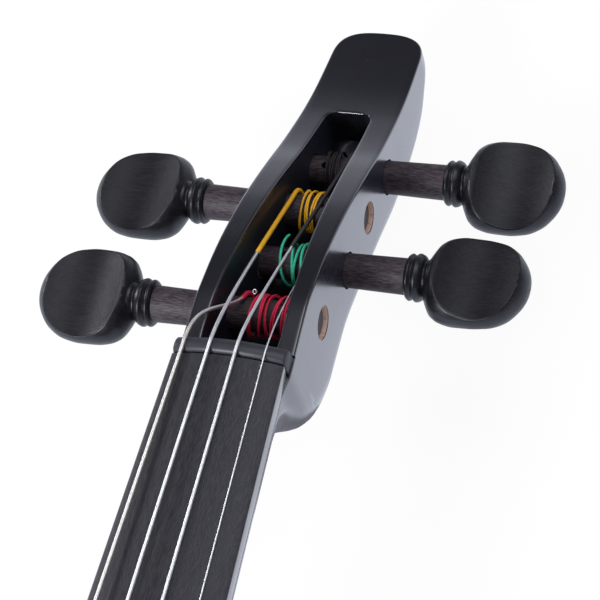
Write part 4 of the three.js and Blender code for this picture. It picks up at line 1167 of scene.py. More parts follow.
@dataclass(frozen=True)
class Peg:
    """Turned peg with a collar, and an oval thumb piece dished on both faces."""

    name: str
    side: int
    y: float
    z: float
    contact_share: float
    pitch: float
    turns: float
    tilt: float
    silk: Look
    silk_radius: float = 0.42
    strands: int = 2
    strand_radius: float = 0.21
    strand_gap: float = 0.27
    lean: float = 0.3
    shaft_radius: float = 4.0
    taper: float = 1 / 60
    string_hole: float = 0.8
    shaft_end: Table = ((0, 0), (0, 0.7), (0.05, 0.85), (0.15, 0.94), (0.35, 1))
    collar_start: float = 25.3
    recess: float = 0.8
    collar_radius: float = 5.25
    collar_length: float = 4.1
    thumb_length: float = 22.6
    thumb_radius: float = 10.8
    thumb_flatness: float = 0.62
    thumb_squareness: float = 2.1
    thumb_waist: float = 3.4
    dish_radius: float = 14.0
    dish_along: float = 0.56
    rim_bevel: float = 0.34
    tail_flare: float = 1.6
    curl_at: Point | None = None
    curl_radius: float = 0.45
    curl_wire: float = 0.12
    collar: Table = (
        (0, 0.78), (0.05, 0.89), (0.2, 0.97), (0.33, 0.91), (0.375, 0.885), (0.42, 0.91), (0.58, 1),
        (0.78, 0.95), (0.93, 0.84), (1, 0.74), (1.08, 0.755), (1.15, 0.82), (1.32, 0.87), (1.5, 0.8),
        (1.7, 0.66), (2.1, 0.6),
    )
    thumb: Table = (
        (0, 0.39), (0.05, 0.62), (0.11, 0.82), (0.2, 0.935), (0.33, 0.99), (0.5, 1), (0.67, 0.945),
        (0.82, 0.78), (0.93, 0.51), (0.985, 0.25), (1, 0.03),
    )

    def radius_at(self, x: float) -> float:
        """Shaft radius at a distance from the centre line toward the thumb piece."""
        return self.shaft_radius - (self.collar_start - x) * self.taper

    def contact(self, head: Head) -> float:
        """Where the string meets the peg, from the centre line."""
        return self.side * head.half_at(self.y - S.string_length) * self.contact_share

    def placed(self, bm: Mesh) -> Mesh:
        """Tilt a piece made along +X, turn it to the peg's side and move it to the peg."""
        turn = Matrix.Rotation(radians(self.tilt), 4, "X")
        if self.side < 0:
            turn = Matrix.Rotation(pi, 4, "Z") @ turn
        return moved(bm, shift((0, self.y, self.z)) @ turn)

    def hole(self, head: Head) -> Mesh:
        """Tapered hole through both cheeks."""
        reach = head.half + 6
        wall = [(x, self.radius_at(x) + S.seat_gap) for x in (-reach, reach)]
        axis = "x" if self.side > 0 else "-x"
        return turned([(-reach, 0), *wall, (reach, 0)], axis, (0, self.y, self.z), 40)

    def lining(self, head: Head) -> Mesh:
        """Bare wood that shows in the hole of the far cheek.

        Args:
            head: the carved head.

        Returns:
            The lining.
        """
        start = -(head.half_at(self.y - S.string_length) - 0.18)
        end = start + head.cheek_wall * 0.9
        inner, outer = 0.06, S.seat_gap - 0.01
        corners = [(start, inner + 0.1), (start, outer), (end, outer), (end, inner), (start + 0.15, inner)]
        loop = [(x, self.radius_at(x) + r) for x, r in [*corners, corners[0]]]
        return self.placed(turned(loop, "x", (0, 0, 0), 40))

    def shaft_piece(self, head: Head) -> Mesh:
        """Bare tapered shaft with a softened end and its string hole.

        Args:
            head: the carved head.

        Returns:
            The shaft.
        """
        end = -(head.half_at(self.y - S.string_length) - self.recess)
        tip = self.radius_at(end)
        profile = [(end + tip * a, tip * b) for a, b in self.shaft_end]
        root = self.collar_start + 0.6
        shaft = turned([*profile, (root, self.radius_at(self.collar_start)), (root, 0)], "x", (0, 0, 0), 56)
        at = self.contact(head) * self.side - self.pitch * (self.turns + 1)
        return self.placed(carved(shaft, [rod(self.string_hole, -6, 6, "z", (at, 0, 0), 20)]))

    def dish_at(self, x: float) -> float:
        """Height of the dished face over the thumb piece's middle plane."""
        middle = self.collar_start + self.collar_length + self.thumb_length * self.dish_along
        return self.thumb_waist / 2 + (x - middle) ** 2 / (2 * self.dish_radius)

    def thumb_ring(self, share: float) -> list[Vector]:
        """Cross section of the thumb piece: rounded rims, eased corners and dished faces.

        Args:
            share: place along the thumb piece.

        Returns:
            The ring's points, made along +X.
        """
        x = self.collar_start + self.collar_length + self.thumb_length * share
        wide = self.thumb_radius * read_smooth(self.thumb, share)[0]
        tall = wide * self.thumb_flatness
        power = self.thumb_squareness
        lift = min(self.dish_at(x), tall * 0.99)
        crease = wide * (1 - (lift / tall) ** power) ** (1 / power)
        bevel = min(self.rim_bevel, crease * 0.4, lift * 0.4)

        def on_rim(z: float) -> tuple[float, float]:
            """Point of the rim at a height."""
            return wide * (1 - (z / tall) ** power) ** (1 / power), z

        rim = [on_rim((lift - bevel * 0.6) * s) for s in (0, 0.25, 0.5, 0.7, 0.85, 0.95, 1)]
        inner = (crease - bevel, lift)
        soft = [bent(rim[-1], (crease, lift), inner, s) for s in (0.25, 0.5, 0.75)]
        quarter = [*rim, *soft, *[(inner[0] * s, lift) for s in steps_between(1, 0, 7)]]
        top = [*quarter, *other_side(quarter[:-1])]
        return [Vector((x, y, z)) for y, z in [*top, *[(-y, -z) for y, z in top[1:-1]]]]

    def head_piece(self) -> Mesh:
        """Collar, bead and thumb piece, which are one turned and carved form.

        Returns:
            The piece.
        """
        thumb = grown([self.thumb_ring(0.5 - 0.5 * cos(a)) for a in steps_between(0, pi, 44)])
        last = self.collar_length * self.collar[-1][0]
        profile = [
            (self.collar_start + x, self.collar_radius * read_smooth(self.collar, x / self.collar_length)[0])
            for x in steps_between(0, last, 60)
        ]
        profile = [(self.collar_start, 0), *profile, (self.collar_start + last, 0)]
        return self.placed(combined([turned(profile, "x", (0, 0, 0), 64), thumb]))

    def winding(self, head: Head) -> Mesh:
        """Silk strands that run side by side in uneven open turns, with a loose tail.

        Args:
            head: the carved head.

        Returns:
            The strands.
        """
        contact = self.contact(head)
        per_turn = 48
        steps = round(per_turn * self.turns)
        strands = []
        for strand in range(self.strands):
            points = []
            for i in range(steps + 1):
                done = i / per_turn
                x = contact - self.side * self.pitch * (1 + done)
                tail = max(0.0, 1 - (self.turns - done) / 0.3)
                radius = self.radius_at(x * self.side) + S.seat_gap + self.silk_radius
                radius += self.silk_radius * 0.5 * (1 - cos(TURN * done)) + self.tail_flare * tail * tail
                lean = self.lean * sin(TURN * done + 2.1 * done + self.y)
                twist = TURN * (strand / 2 + 0.37 * done) + self.y
                x += lean + self.strand_gap * cos(twist)
                radius += self.strand_radius * 0.6 * sin(twist)
                turn = radians(-60) - TURN * done
                points.append(Vector((x, self.y + radius * cos(turn), self.z + radius * sin(turn))))
            strands.append(tube(points, self.strand_radius, 12))
        return combined(strands)

    def curl(self) -> Mesh:
        """Loose end of the winding wire, sprung into a small curl on top of the silk.

        Returns:
            The curl.
        """
        points = []
        for i in range(41):
            turn = TURN * 1.6 * i / 40
            reach = self.curl_radius * (1 - 0.3 * i / 40)
            out, up = reach * cos(turn), reach * sin(turn)
            points.append(Vector(self.curl_at) + Vector((out, up * 0.8, 0.9 * up + 0.4 * i / 40)))
        return tube(points, self.curl_wire, 10)

    def build(self, head: Head) -> None:
        """Make the shaft, the head, the winding and the curl.

        Args:
            head: the carved head.
        """
        peg, winding, rides = [f"peg_{self.name}"], f"winding_{self.name}", f"peg_{self.name}_turning"
        publish(self.shaft_piece(head), f"peg_{self.name}_shaft", Look.PEG_SHAFT, peg, 30, rides)
        publish(self.head_piece(), f"peg_{self.name}_head", Look.PEG_HEAD, peg, 50, rides)
        publish(self.winding(head), f"{winding}_silk", self.silk, [winding], 80, rides)
        if self.curl_at is not None:
            publish(self.curl(), f"{winding}_wire_curl", Look.COLD_WIRE, [], 80, rides)


PEGS = (
    Peg("g", -1, 347.2, 46.321, 0.41, 1.7, 5, -5, Look.SILK_G, lean=0.36, curl_at=(-2.7, 350.2, 50.9)),
    Peg("e", 1, 364.305, 39.288, 0.44, 1.5, 3.75, -6, Look.SILK_E, lean=0.45, strands=1, strand_radius=0.3),
    Peg("d", -1, 380.302, 35.147, 0.4, 1.5, 3.25, 1, Look.SILK_D, lean=0.24),
    Peg("a", 1, 394.995, 28.848, 0.275, 1.4, 3, 8, Look.SILK_A, lean=0.2),
)


# Strings, nut and fingerboard


@dataclass(frozen=True)
class TailFrame:
    """Frame of the tailpiece: y runs back from its bridge end as negative, z up from its top."""

    after_length: float = 56.0
    top: float = 62.0
    tilt: float = 6.0
    spacing: float = 9.4
    fork_inset: float = 10.5
    fork_line: float = 1.6
    lever_thick: float = 2.6
    lever_arm: float = 23.5
    ball_length: float = 3.0
    ball_radius: float = 1.7

    def at(self, x: float, y: float, z: float) -> Vector:
        """A point of the tailpiece's frame in the violin's frame."""
        turn = Matrix.Rotation(radians(self.tilt), 3, "X")
        return turn @ Vector((x, y, z)) + Vector((0, -self.after_length, self.top))

    def laid(self, bm: Mesh) -> Mesh:
        """Move a piece made in the tailpiece's frame into place."""
        turn = Matrix.Rotation(radians(self.tilt), 4, "X")
        return moved(bm, shift((0, -self.after_length, self.top)) @ turn)

    def string_x(self, i: int) -> float:
        """Where a string's fork stands across."""
        return (i - 1.5) * self.spacing


TAIL = TailFrame()


@dataclass(frozen=True)
class String:
    """One string, from its peg over nut and bridge to its fork."""

    name: str
    order: int
    radius: float
    wire: Look
    slot: str
    silk_share: float
    silk_thickness: float = 0.12
    bridge_top_rise: float = 11.4
    bridge_depth: float = 4.6
    bridge_top_depth: float = 1.8

    @property
    def bridge_x(self) -> float:
        """Where the string crosses the bridge."""
        return (self.order - 1.5) * S.bridge_spacing

    @property
    def nut_x(self) -> float:
        """Where the string crosses the nut."""
        return S.nut_shift + (self.order - 1.5) * S.nut_spacing

    @property
    def nut_z(self) -> float:
        """Height of the string's middle over the nut."""
        return S.board_height + S.crown_at(self.nut_x, S.board_nut_half) + S.nut_rise + self.radius * 0.4

    def bridge_z(self) -> float:
        """Height of the string's middle over the bridge."""
        return S.board_height + self.bridge_top_rise - S.bridge_drop(self.bridge_x) + self.radius * 0.28

    def route(self, head: Head, peg: Peg) -> tuple[list[Vector], list[Vector]]:
        """The string's middle line.

        Args:
            head: the head that it runs into.
            peg: its peg.

        Returns:
            Points of the silk part and of the wire part.
        """
        contact = peg.contact(head)
        wrap = peg.radius_at(contact * peg.side) + S.seat_gap + self.radius + self.silk_thickness
        rear = Vector((self.nut_x, S.string_length + S.nut_length * 0.82, self.nut_z - self.radius * 0.6))
        ahead, above = rear.y - peg.y, rear.z - peg.z
        meet = atan2(above, ahead) - acos(wrap / hypot(ahead, above))
        points = [
            Vector((contact, peg.y + wrap * cos(a), peg.z + wrap * sin(a)))
            for a in steps_between(meet - radians(150), meet, 26)
        ]
        leave = points[-1]
        span = (rear - leave).length
        stiff = min(span * 0.5, head.length * 0.09)
        first = leave + Vector((0, -sin(meet), cos(meet))) * stiff
        second = rear + Vector((0, 1, -0.1)).normalized() * stiff
        split = len(points) + round(30 * self.silk_share)
        points += interpolate_bezier(leave, first, second, rear, 31)[1:]
        wire = points[split - 1:]
        for share in (0.66, 0.5, 0.33, 0.15):
            wire.append(Vector((self.nut_x, S.string_length + S.nut_length * share, self.nut_z)))
        for y in (self.bridge_top_depth * 0.6, -self.bridge_depth * 0.55):
            wire.append(Vector((self.bridge_x, y, self.bridge_z())))
        end = -TAIL.fork_inset - TAIL.lever_thick / 2 - S.seat_gap - TAIL.ball_length * 0.3
        for y in (-TAIL.fork_inset + TAIL.lever_thick, end):
            wire.append(TAIL.at(TAIL.string_x(self.order), y, TAIL.fork_line))
        return points[:split], wire

    def build(self, head: Head, peg: Peg) -> None:
        """Make the silk part and the wire part."""
        silk, wire = self.route(head, peg)
        node, thick = f"string_{self.name}", self.radius + self.silk_thickness
        publish(tube(silk, thick, 14), f"{node}_silk", peg.silk, [node], 80)
        publish(tube(wire, self.radius, 14), f"{node}_wire", self.wire, [node], 80)


STRINGS = (
    String("g", 0, 0.42, Look.WARM_WIRE, "string_wound", 0.08),
    String("d", 1, 0.4, Look.COLD_WIRE, "string_wound", 0.45),
    String("a", 2, 0.36, Look.COLD_WIRE, "string_wound", 0.52),
    String("e", 3, 0.16, Look.PLAIN_WIRE, "string_plain", 0.15),
)


@dataclass(frozen=True)
class Nut:
    """Crowned nut with a rounded top and a snug groove for each string."""

    softness: float = 1.35
    groove_gap: float = 0.05
    rounding: Table = (
        (0.4, 0.75), (0.58, 0.5), (0.81, 0.3), (1.15, 0.12), (1.5, 0.03), (2.03, 0), (2.75, 0.1), (3.3, 0.3),
        (3.83, 0.6), (4.08, 0.95),
    )
    end_shrink: Table = ((0, 0.0875), (0.1, 0.03))

    def ring(self, x: float) -> list[Vector]:
        """Cross section along the strings at a place across the neck.

        Args:
            x: the place.

        Returns:
            Its points.
        """
        start, end, soft = S.seat_gap, S.nut_length - S.seat_gap, self.softness
        top = S.board_height + S.crown_at(x, S.board_nut_half) + S.nut_rise
        falls = [(start, 2), (start, 1), *self.rounding, (end, 1.4), (end, 2)]
        profile = [(start, S.seat), *[(y, top - soft * fall) for y, fall in falls], (end, S.seat)]
        for one in STRINGS:
            reach = one.radius + self.groove_gap
            off = abs(x - one.nut_x)
            if off < reach:
                bed = one.nut_z - sqrt(reach ** 2 - off ** 2)
                profile = [(y, min(z, bed)) for y, z in profile]
        return [Vector((x, S.string_length + y, z)) for y, z in profile]

    def build(self) -> None:
        """Grow the nut from bass to treble."""
        half = S.board_nut_half
        places = set(steps_between(-half + 0.35, half - 0.35, 60))
        for one in STRINGS:
            reach = one.radius + self.groove_gap
            for share in (0, 0.4, 0.7, 0.9, 1, 1.02):
                places.update((one.nut_x - reach * share, one.nut_x + reach * share))
        bass_end = []
        for inset, shrink in self.end_shrink:
            middle = Vector((inset - half, S.string_length + S.nut_length / 2, S.board_height - 2))
            bass_end.append([middle + (p - middle) * (1 - shrink) for p in self.ring(inset - half)])
        treble_end = [other_side(ring)[::-1] for ring in reversed(bass_end)]
        bm = grown([*bass_end, *[self.ring(x) for x in sorted(places)], *treble_end])
        publish(bm, "nut_polished", Look.NUT, ["nut"], 60)


@dataclass(frozen=True)
class Fingerboard:
    """Crowned board with eased edges, hollowed under its free end."""

    corner: float = 0.35
    hollow_radius: float = 60.0
    hollow_depth: float = 2.4

    def ring(self, from_nut: float, hollowed: bool) -> list[Vector]:
        """Cross section at a distance from the nut toward the bridge.

        Args:
            from_nut: the distance.
            hollowed: whether its underside is hollowed.

        Returns:
            Its points.
        """
        half = S.board_half_at(from_nut)
        corner = self.corner
        high = S.board_height
        crown = half - corner * 0.6
        points = [(x, high + S.crown_at(x, half)) for x in steps_between(-crown, crown, 36)]
        foot = half - S.board_slant
        side = [(half - 0.04, high - 0.06), (half, high - corner), (foot, high - S.board_edge + corner),
                (foot - 0.03, S.seat + 0.03), (foot - 0.1, S.seat)]
        centre = S.seat + self.hollow_depth - self.hollow_radius
        points += side
        for i in range(21):
            x = (foot - 0.1) * (1 - 2 * (i + 0.5) / 21)
            under = centre + sqrt(self.hollow_radius ** 2 - x * x)
            points.append((x, max(S.seat, under) if hollowed else S.seat))
        return [Vector((x, S.string_length - from_nut, z)) for x, z in [*points, *other_side(side)]]

    def build(self) -> None:
        """Grow the board from the nut to its free end."""
        free = S.string_length - S.body_upper_end + S.board_edge
        rings = [self.ring(place, False) for place in steps_between(0, free, 12)]
        rings += [self.ring(place, True) for place in steps_between(free + 0.5, S.board_length, 12)]
        publish(grown(rings), "fingerboard_shaped", Look.FINGERBOARD, ["fingerboard"], 50)


# Curves and copies that several sub-assemblies use


def spline(points: Sequence[Point], per_span: int, centripetal: bool = False) -> list[Vector]:
    """Smooth curve through its points.

    Args:
        points: points that it passes through.
        per_span: steps from each point to the next.
        centripetal: True keeps close bends round, False gives every span the same weight.

    Returns:
        Points along the curve.
    """
    line = [Vector(p) for p in points]
    first = line[0] * 2 - line[1] if centripetal else line[0]
    last = line[-1] * 2 - line[-2] if centripetal else line[-1]
    line = [first, *line, last]
    curve = [line[1].copy()]
    for i in range(1, len(line) - 2):
        a, b, c, d = line[i - 1:i + 3]
        gaps = [1.0, 1.0, 1.0]
        if centripetal:
            gaps = [max(sqrt((q - p).length), 1e-6) for p, q in ((a, b), (b, c), (c, d))]
        leave = ((b - a) / gaps[0] - (c - a) / (gaps[0] + gaps[1]) + (c - b) / gaps[1]) * gaps[1]
        arrive = ((c - b) / gaps[1] - (d - b) / (gaps[1] + gaps[2]) + (d - c) / gaps[2]) * gaps[1]
        if not centripetal:
            leave, arrive = (c - a) / 2, (d - b) / 2
        for t in steps_between(0, 1, per_span)[1:]:
            curve.append(eased_between(b, c, leave, arrive, t))
    return curve


def along_line(line: Sequence[Vector], share: float) -> tuple[Vector, Vector]:
    """A place on a line of points by its share of the length.

    Args:
        line: the points.
        share: from 0 at the first point to 1 at the last.

    Returns:
        The place and the way the line runs there.
    """
    lengths = [0.0]
    for a, b in zip(line, line[1:]):
        lengths.append(lengths[-1] + (b - a).length)
    reach = lengths[-1] * min(max(share, 0), 1)
    i = max(1, next(k for k, length in enumerate(lengths) if length >= reach))
    part = (reach - lengths[i - 1]) / (lengths[i] - lengths[i - 1])
    return line[i - 1].lerp(line[i], part), (line[i] - line[i - 1]).normalized()


def plate(outline: Sequence[Point], low: float, high: float, holes: Sequence[Sequence[Point]] = ()) -> Mesh:
    """Flat outline raised into a plate.

    Args:
        outline: plane points of its edge.
        low: lower face.
        high: upper face.
        holes: outlines cut right through.

    Returns:
        The closed plate.
    """
    if holes:
        return carved(plate(outline, low, high), [plate(hole, low - 5, high + 5) for hole in holes])
    bm = bmesh.new()
    verts = [bm.verts.new(Vector((p[0], p[1], low)) * MM) for p in outline]
    face = bmesh.ops.contextual_create(bm, geom=verts)["faces"]
    raised = bmesh.ops.extrude_face_region(bm, geom=face)["geom"]
    up = [v for v in raised if isinstance(v, bmesh.types.BMVert)]
    bmesh.ops.translate(bm, verts=up, vec=(0, 0, (high - low) * MM))
    bmesh.ops.recalc_face_normals(bm, faces=bm.faces)
    return bm


def fluted(rows: Table, ribs: int, depth: float, axis: str, at: Point) -> Mesh:
    """Round piece whose side is fluted for the fingers.

    Args:
        rows: place along the axis, radius, and share of the flute's depth.
        ribs: number of ribs round it.
        depth: depth of a full flute.
        axis: as for a turned piece.
        at: the point that distance 0 stands for.

    Returns:
        The closed piece.
    """
    sides = ribs * 6
    rings = []
    for along, radius, share in rows:
        turns = [TURN * j / sides for j in range(sides)]
        reach = [radius - depth * share * (0.5 - 0.5 * cos(ribs * turn)) for turn in turns]
        rings.append([(r * cos(turn), r * sin(turn), along) for r, turn in zip(reach, turns)])
    return moved(grown(rings), shift(at) @ AXIS_TURNS[axis])


def copied(node: str) -> Mesh:
    """Merged copy of a CAD node, with its flat faces made whole again.

    Args:
        node: the CAD node.

    Returns:
        The copy.
    """
    bm = bmesh.new()
    bm.from_mesh(frame["nodes"][node].data)
    bmesh.ops.remove_doubles(bm, verts=bm.verts, dist=MERGE)
    flat = radians(1)
    bmesh.ops.dissolve_limit(bm, angle_limit=flat, verts=bm.verts, edges=bm.edges, delimit={"NORMAL"})
    return bm


def softened(node: str, look: Look, width: float, angle: float = 50.0) -> None:
    """Replace a CAD node by its copy, with the edges above an angle eased by a width."""
    body = frame["nodes"][node]["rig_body"]
    publish(eased(copied(node), width, angle), f"{node}_eased", look, [node], 40, body)


def dressed(node: str, look: Look) -> None:
    """Give a CAD node that stays as it is its finish."""
    mesh = frame["nodes"][node].data
    mesh.materials.clear()
    mesh.materials.append(look.value.material())


# The body


@dataclass(frozen=True)
class CentreBody:
    """Solid centre body with rounded rims, and the bays and bores cut into it."""

    rim: float = 3.0
    outline_shares: Table = (
        (0, 0.52), (0.06, 0.6), (0.2, 0.8), (0.34, 0.78), (0.46, 0.7), (0.56, 0.84), (0.63, 1),
    )
    end_shares: Table = ((0.885, 1), (0.94, 0.93), (0.978, 0.74), (1, 0.48))
    cover_half: float = 31.0
    cover_near: float = -27.96
    cover_far: float = -118.96
    cover_thick: float = 3.0
    ledge: float = 6.0
    bay_depth: float = 30.0
    control_z: float = 17.9
    control_y: tuple[float, float, float, float] = (-43.84, -63.591, -83.342, -103.093)
    bores: tuple[float, float, float] = (5.5, 3.8, 4.3)
    slot_half: Point = (4.25, 1.95)
    screw_radius: float = 1.3
    screw_reach: float = 9.0

    def outline(self, grow: float = 0.0) -> list[Point]:
        """The body's outline, seen from the front.

        Args:
            grow: how far it is widened.

        Returns:
            Its points, with the neck's end first.
        """
        def half(rows: Table) -> list[Point]:
            """Turn rows of shares into points of the treble half.

            Args:
                rows: the shares.

            Returns:
                The points.
            """
            ends = [grow * ((along == 0) - (along == 1)) for along, across in rows]
            return [
                (S.body_half * across + grow, S.body_upper_end - S.body_length * along + end, 0)
                for (along, across), end in zip(rows, ends)
            ]

        right = spline(half(self.outline_shares), 14) + spline(half(self.end_shares), 10)
        return [*right, *other_side(right)]

    @property
    def bay(self) -> tuple[Point, Point]:
        """Lowest and highest corner of the control bay."""
        half = self.cover_half - self.ledge
        return (-half, self.cover_far + self.ledge, -6), (half, self.cover_near - self.ledge, self.bay_depth)

    def screw_places(self) -> list[tuple[float, float]]:
        """Where the cover's screws stand."""
        low, high = self.bay
        out = self.ledge / 2
        return [(hand * (high[0] + out), y) for hand in (-1, 1) for y in (high[1] + out, low[1] - out)]

    def tools(self, battery: "Battery") -> list[Mesh]:
        """Everything that is cut out of the body.

        Args:
            battery: the battery and its door.

        Returns:
            Closed cutting shapes.
        """
        gap, past = S.seat_gap, 6
        low, high = self.bay
        half = self.cover_half + gap
        made = [
            block((-half, self.cover_far - gap, -past), (half, self.cover_near + gap, self.cover_thick)),
            block(low, high),
        ]
        for x, y in self.screw_places():
            made.append(rod(self.screw_radius + gap, 0, self.screw_reach + 2 * gap, "z", (x, y, 0), 20))
        line, phone, switch, volume = self.control_y
        for bore, y in zip(self.bores, (line, phone, volume)):
            made.append(rod(bore + gap, high[0] - past, S.body_half + past, "x", (0, y, self.control_z), 40))
        wide, tall = self.slot_half
        made.append(block(
            (high[0] - past, switch - wide, self.control_z - tall),
            (S.body_half + past, switch + wide, self.control_z + tall),
        ))
        made += battery.bay_tools()
        made.append(block(
            (-S.saddle_half - gap, S.body_lower_end - past, S.body_depth - S.saddle_sink),
            (S.saddle_half + gap, S.body_lower_end + S.saddle_depth + gap, S.body_depth + past),
        ))
        button = (0, S.body_lower_end, S.body_depth / 2)
        made.append(rod(S.button_shank + gap, -past, S.button_reach + gap, "y", button))
        return made

    def build(self, battery: "Battery") -> None:
        """Shape the body, round its rims and cut it.

        Args:
            battery: the battery and its door.
        """
        bm = plate(self.outline(), 0, S.body_depth)
        rims = [e for e in bm.edges if abs(e.verts[0].co.z - e.verts[1].co.z) < MERGE]
        bm = cut_in_turn(bevelled(bm, rims, self.rim, 6), self.tools(battery))
        publish(bm, "centre_body_rounded", Look.BODY_LACQUER, ["centre_body"])


@dataclass(frozen=True)
class SideFrames:
    """Slim bent frames that give the violin its outline on each side."""

    reach: tuple[float, float, float] = (84.0, 56.0, 104.0)
    rod_width: float = 10.0
    rod_height: float = 20.0
    lift: float = 14.0
    corner: float = 2.5
    shares: Table = (
        (0, 0.16, 0.055), (0, 0.45, 0.043), (0, 0.76, 0.072), (0, 0.94, 0.145), (0, 0.9, 0.27),
        (1, 1.02, 0.39), (1, 0.93, 0.485), (1, 1.08, 0.585), (2, 0.82, 0.67), (2, 0.951, 0.78),
        (2, 0.9, 0.88), (2, 0.66, 0.955), (2, 0.36, 0.972), (2, 0.12, 0.968),
    )

    def path(self, hand: int) -> list[Vector]:
        """Middle line of a frame, from the upper end to the lower.

        Args:
            hand: 1 for the treble side, -1 for the bass side.

        Returns:
            Points along it.
        """
        middle = self.lift + self.rod_height / 2
        points = [
            (hand * (self.reach[bout] * across - 0.1), S.body_upper_end - S.body_length * along, middle)
            for bout, across, along in self.shares
        ]
        return spline(points, 16, centripetal=True)

    def build(self, body: CentreBody) -> None:
        """Bend both frames and fit them to the body.

        Args:
            body: the body that they're let into.
        """
        w, h, r = self.rod_width / 2, self.rod_height / 2, self.corner
        section = []
        for k, (x, z) in enumerate(((w - r, h - r), (r - w, h - r), (r - w, r - h), (w - r, r - h))):
            section += arc((x, z), r, 90 * k, 90 * k + 90, 5)
        for name, hand in (("bass_frame", -1), ("treble_frame", 1)):
            line = self.path(hand)
            rings = []
            for i, middle in enumerate(line):
                along = way_at(line, i)
                out = Vector((along.y, -along.x, 0)).normalized()
                rings.append([middle + out * x + Vector((0, 0, z)) for x, z in section])
            bm = carved(grown(rings), [plate(body.outline(S.seat_gap), -6, S.body_depth + 6)])
            publish(bm, f"{name}_bent", Look.BODY_LACQUER, [name])


@dataclass(frozen=True)
class Bridge:
    """Maple bridge, crowned for the strings and tapered toward its top."""

    half: float = 20.5
    foot_depth: float = 4.6
    top_depth: float = 1.8
    pickup_thick: float = 1.6
    centre_rise: float = 11.4
    foot: Table = ((0.34, 0.05), (0.4, 0.1), (0.56, 0.13), (0.62, 0))
    side: Table = (
        (1, 0), (0.98, 0.09), (0.8, 0.17), (0.72, 0.26), (0.76, 0.35), (0.95, 0.4), (1, 0.47), (0.95, 0.56),
        (0.9, 0.68),
    )
    heart: Table = ((0, 0.4), (0.09, 0.496), (0.12, 0.592), (0.084, 0.646), (0.03, 0.652), (0, 0.61))
    kidney: Point = (0.6, 0.48, 0.1, 0.065)

    def build(self) -> None:
        """Cut the outline, the heart and the kidneys, then taper and notch it."""
        foot = S.body_depth + self.pickup_thick
        height = S.board_height + self.centre_rise - foot
        arch = [(self.half * x, height * z, 0) for x, z in ((0, 0.156), *self.foot)]
        right = spline(arch, 4) + spline([(self.half * x, height * z, 0) for x, z in self.side], 5)
        top_half = self.half * self.side[-1][0]
        crown = [(x, height - S.bridge_drop(x)) for x in steps_between(top_half, -top_half, 24)[1:-1]]
        curve = spline([(height * x, height * z, 0) for x, z in self.heart], 4)
        holes = [[*curve, *other_side(curve[1:-1])]]
        out, up, wide, tall = self.kidney
        for hand in (-1, 1):
            holes.append([
                (hand * self.half * out + height * wide * x, height * (up + tall * y))
                for x, y in arc((0, 0), 1, 0, 360, 28)[:-1]
            ])
        bm = plate([*right, *crown, *other_side(right[1:])], 0, self.foot_depth, holes)
        front = shift((0, self.foot_depth / 2, foot))
        bm = moved(bm, front @ Matrix.Rotation(pi / 2, 4, "X"))
        lean = atan2(self.foot_depth - self.top_depth, height)
        shave = block((-self.half - 6, 0, -6), (self.half + 6, 6, height + 6))
        bm = carved(bm, [moved(shave, front @ Matrix.Rotation(lean, 4, "X"))])
        notches = []
        for one in STRINGS:
            x, z = one.bridge_x, one.bridge_z()
            notches.append(tube([(x, 8, z), (x, -8, z)], one.radius + 0.08, 16))
        publish(carved(bm, notches), "bridge_cut", Look.BRIDGE_MAPLE, ["bridge"])
        softened("bridge_pickup", Look.SMOOTH_MOULDED, 0.3)


# Tailpiece and fine tuners


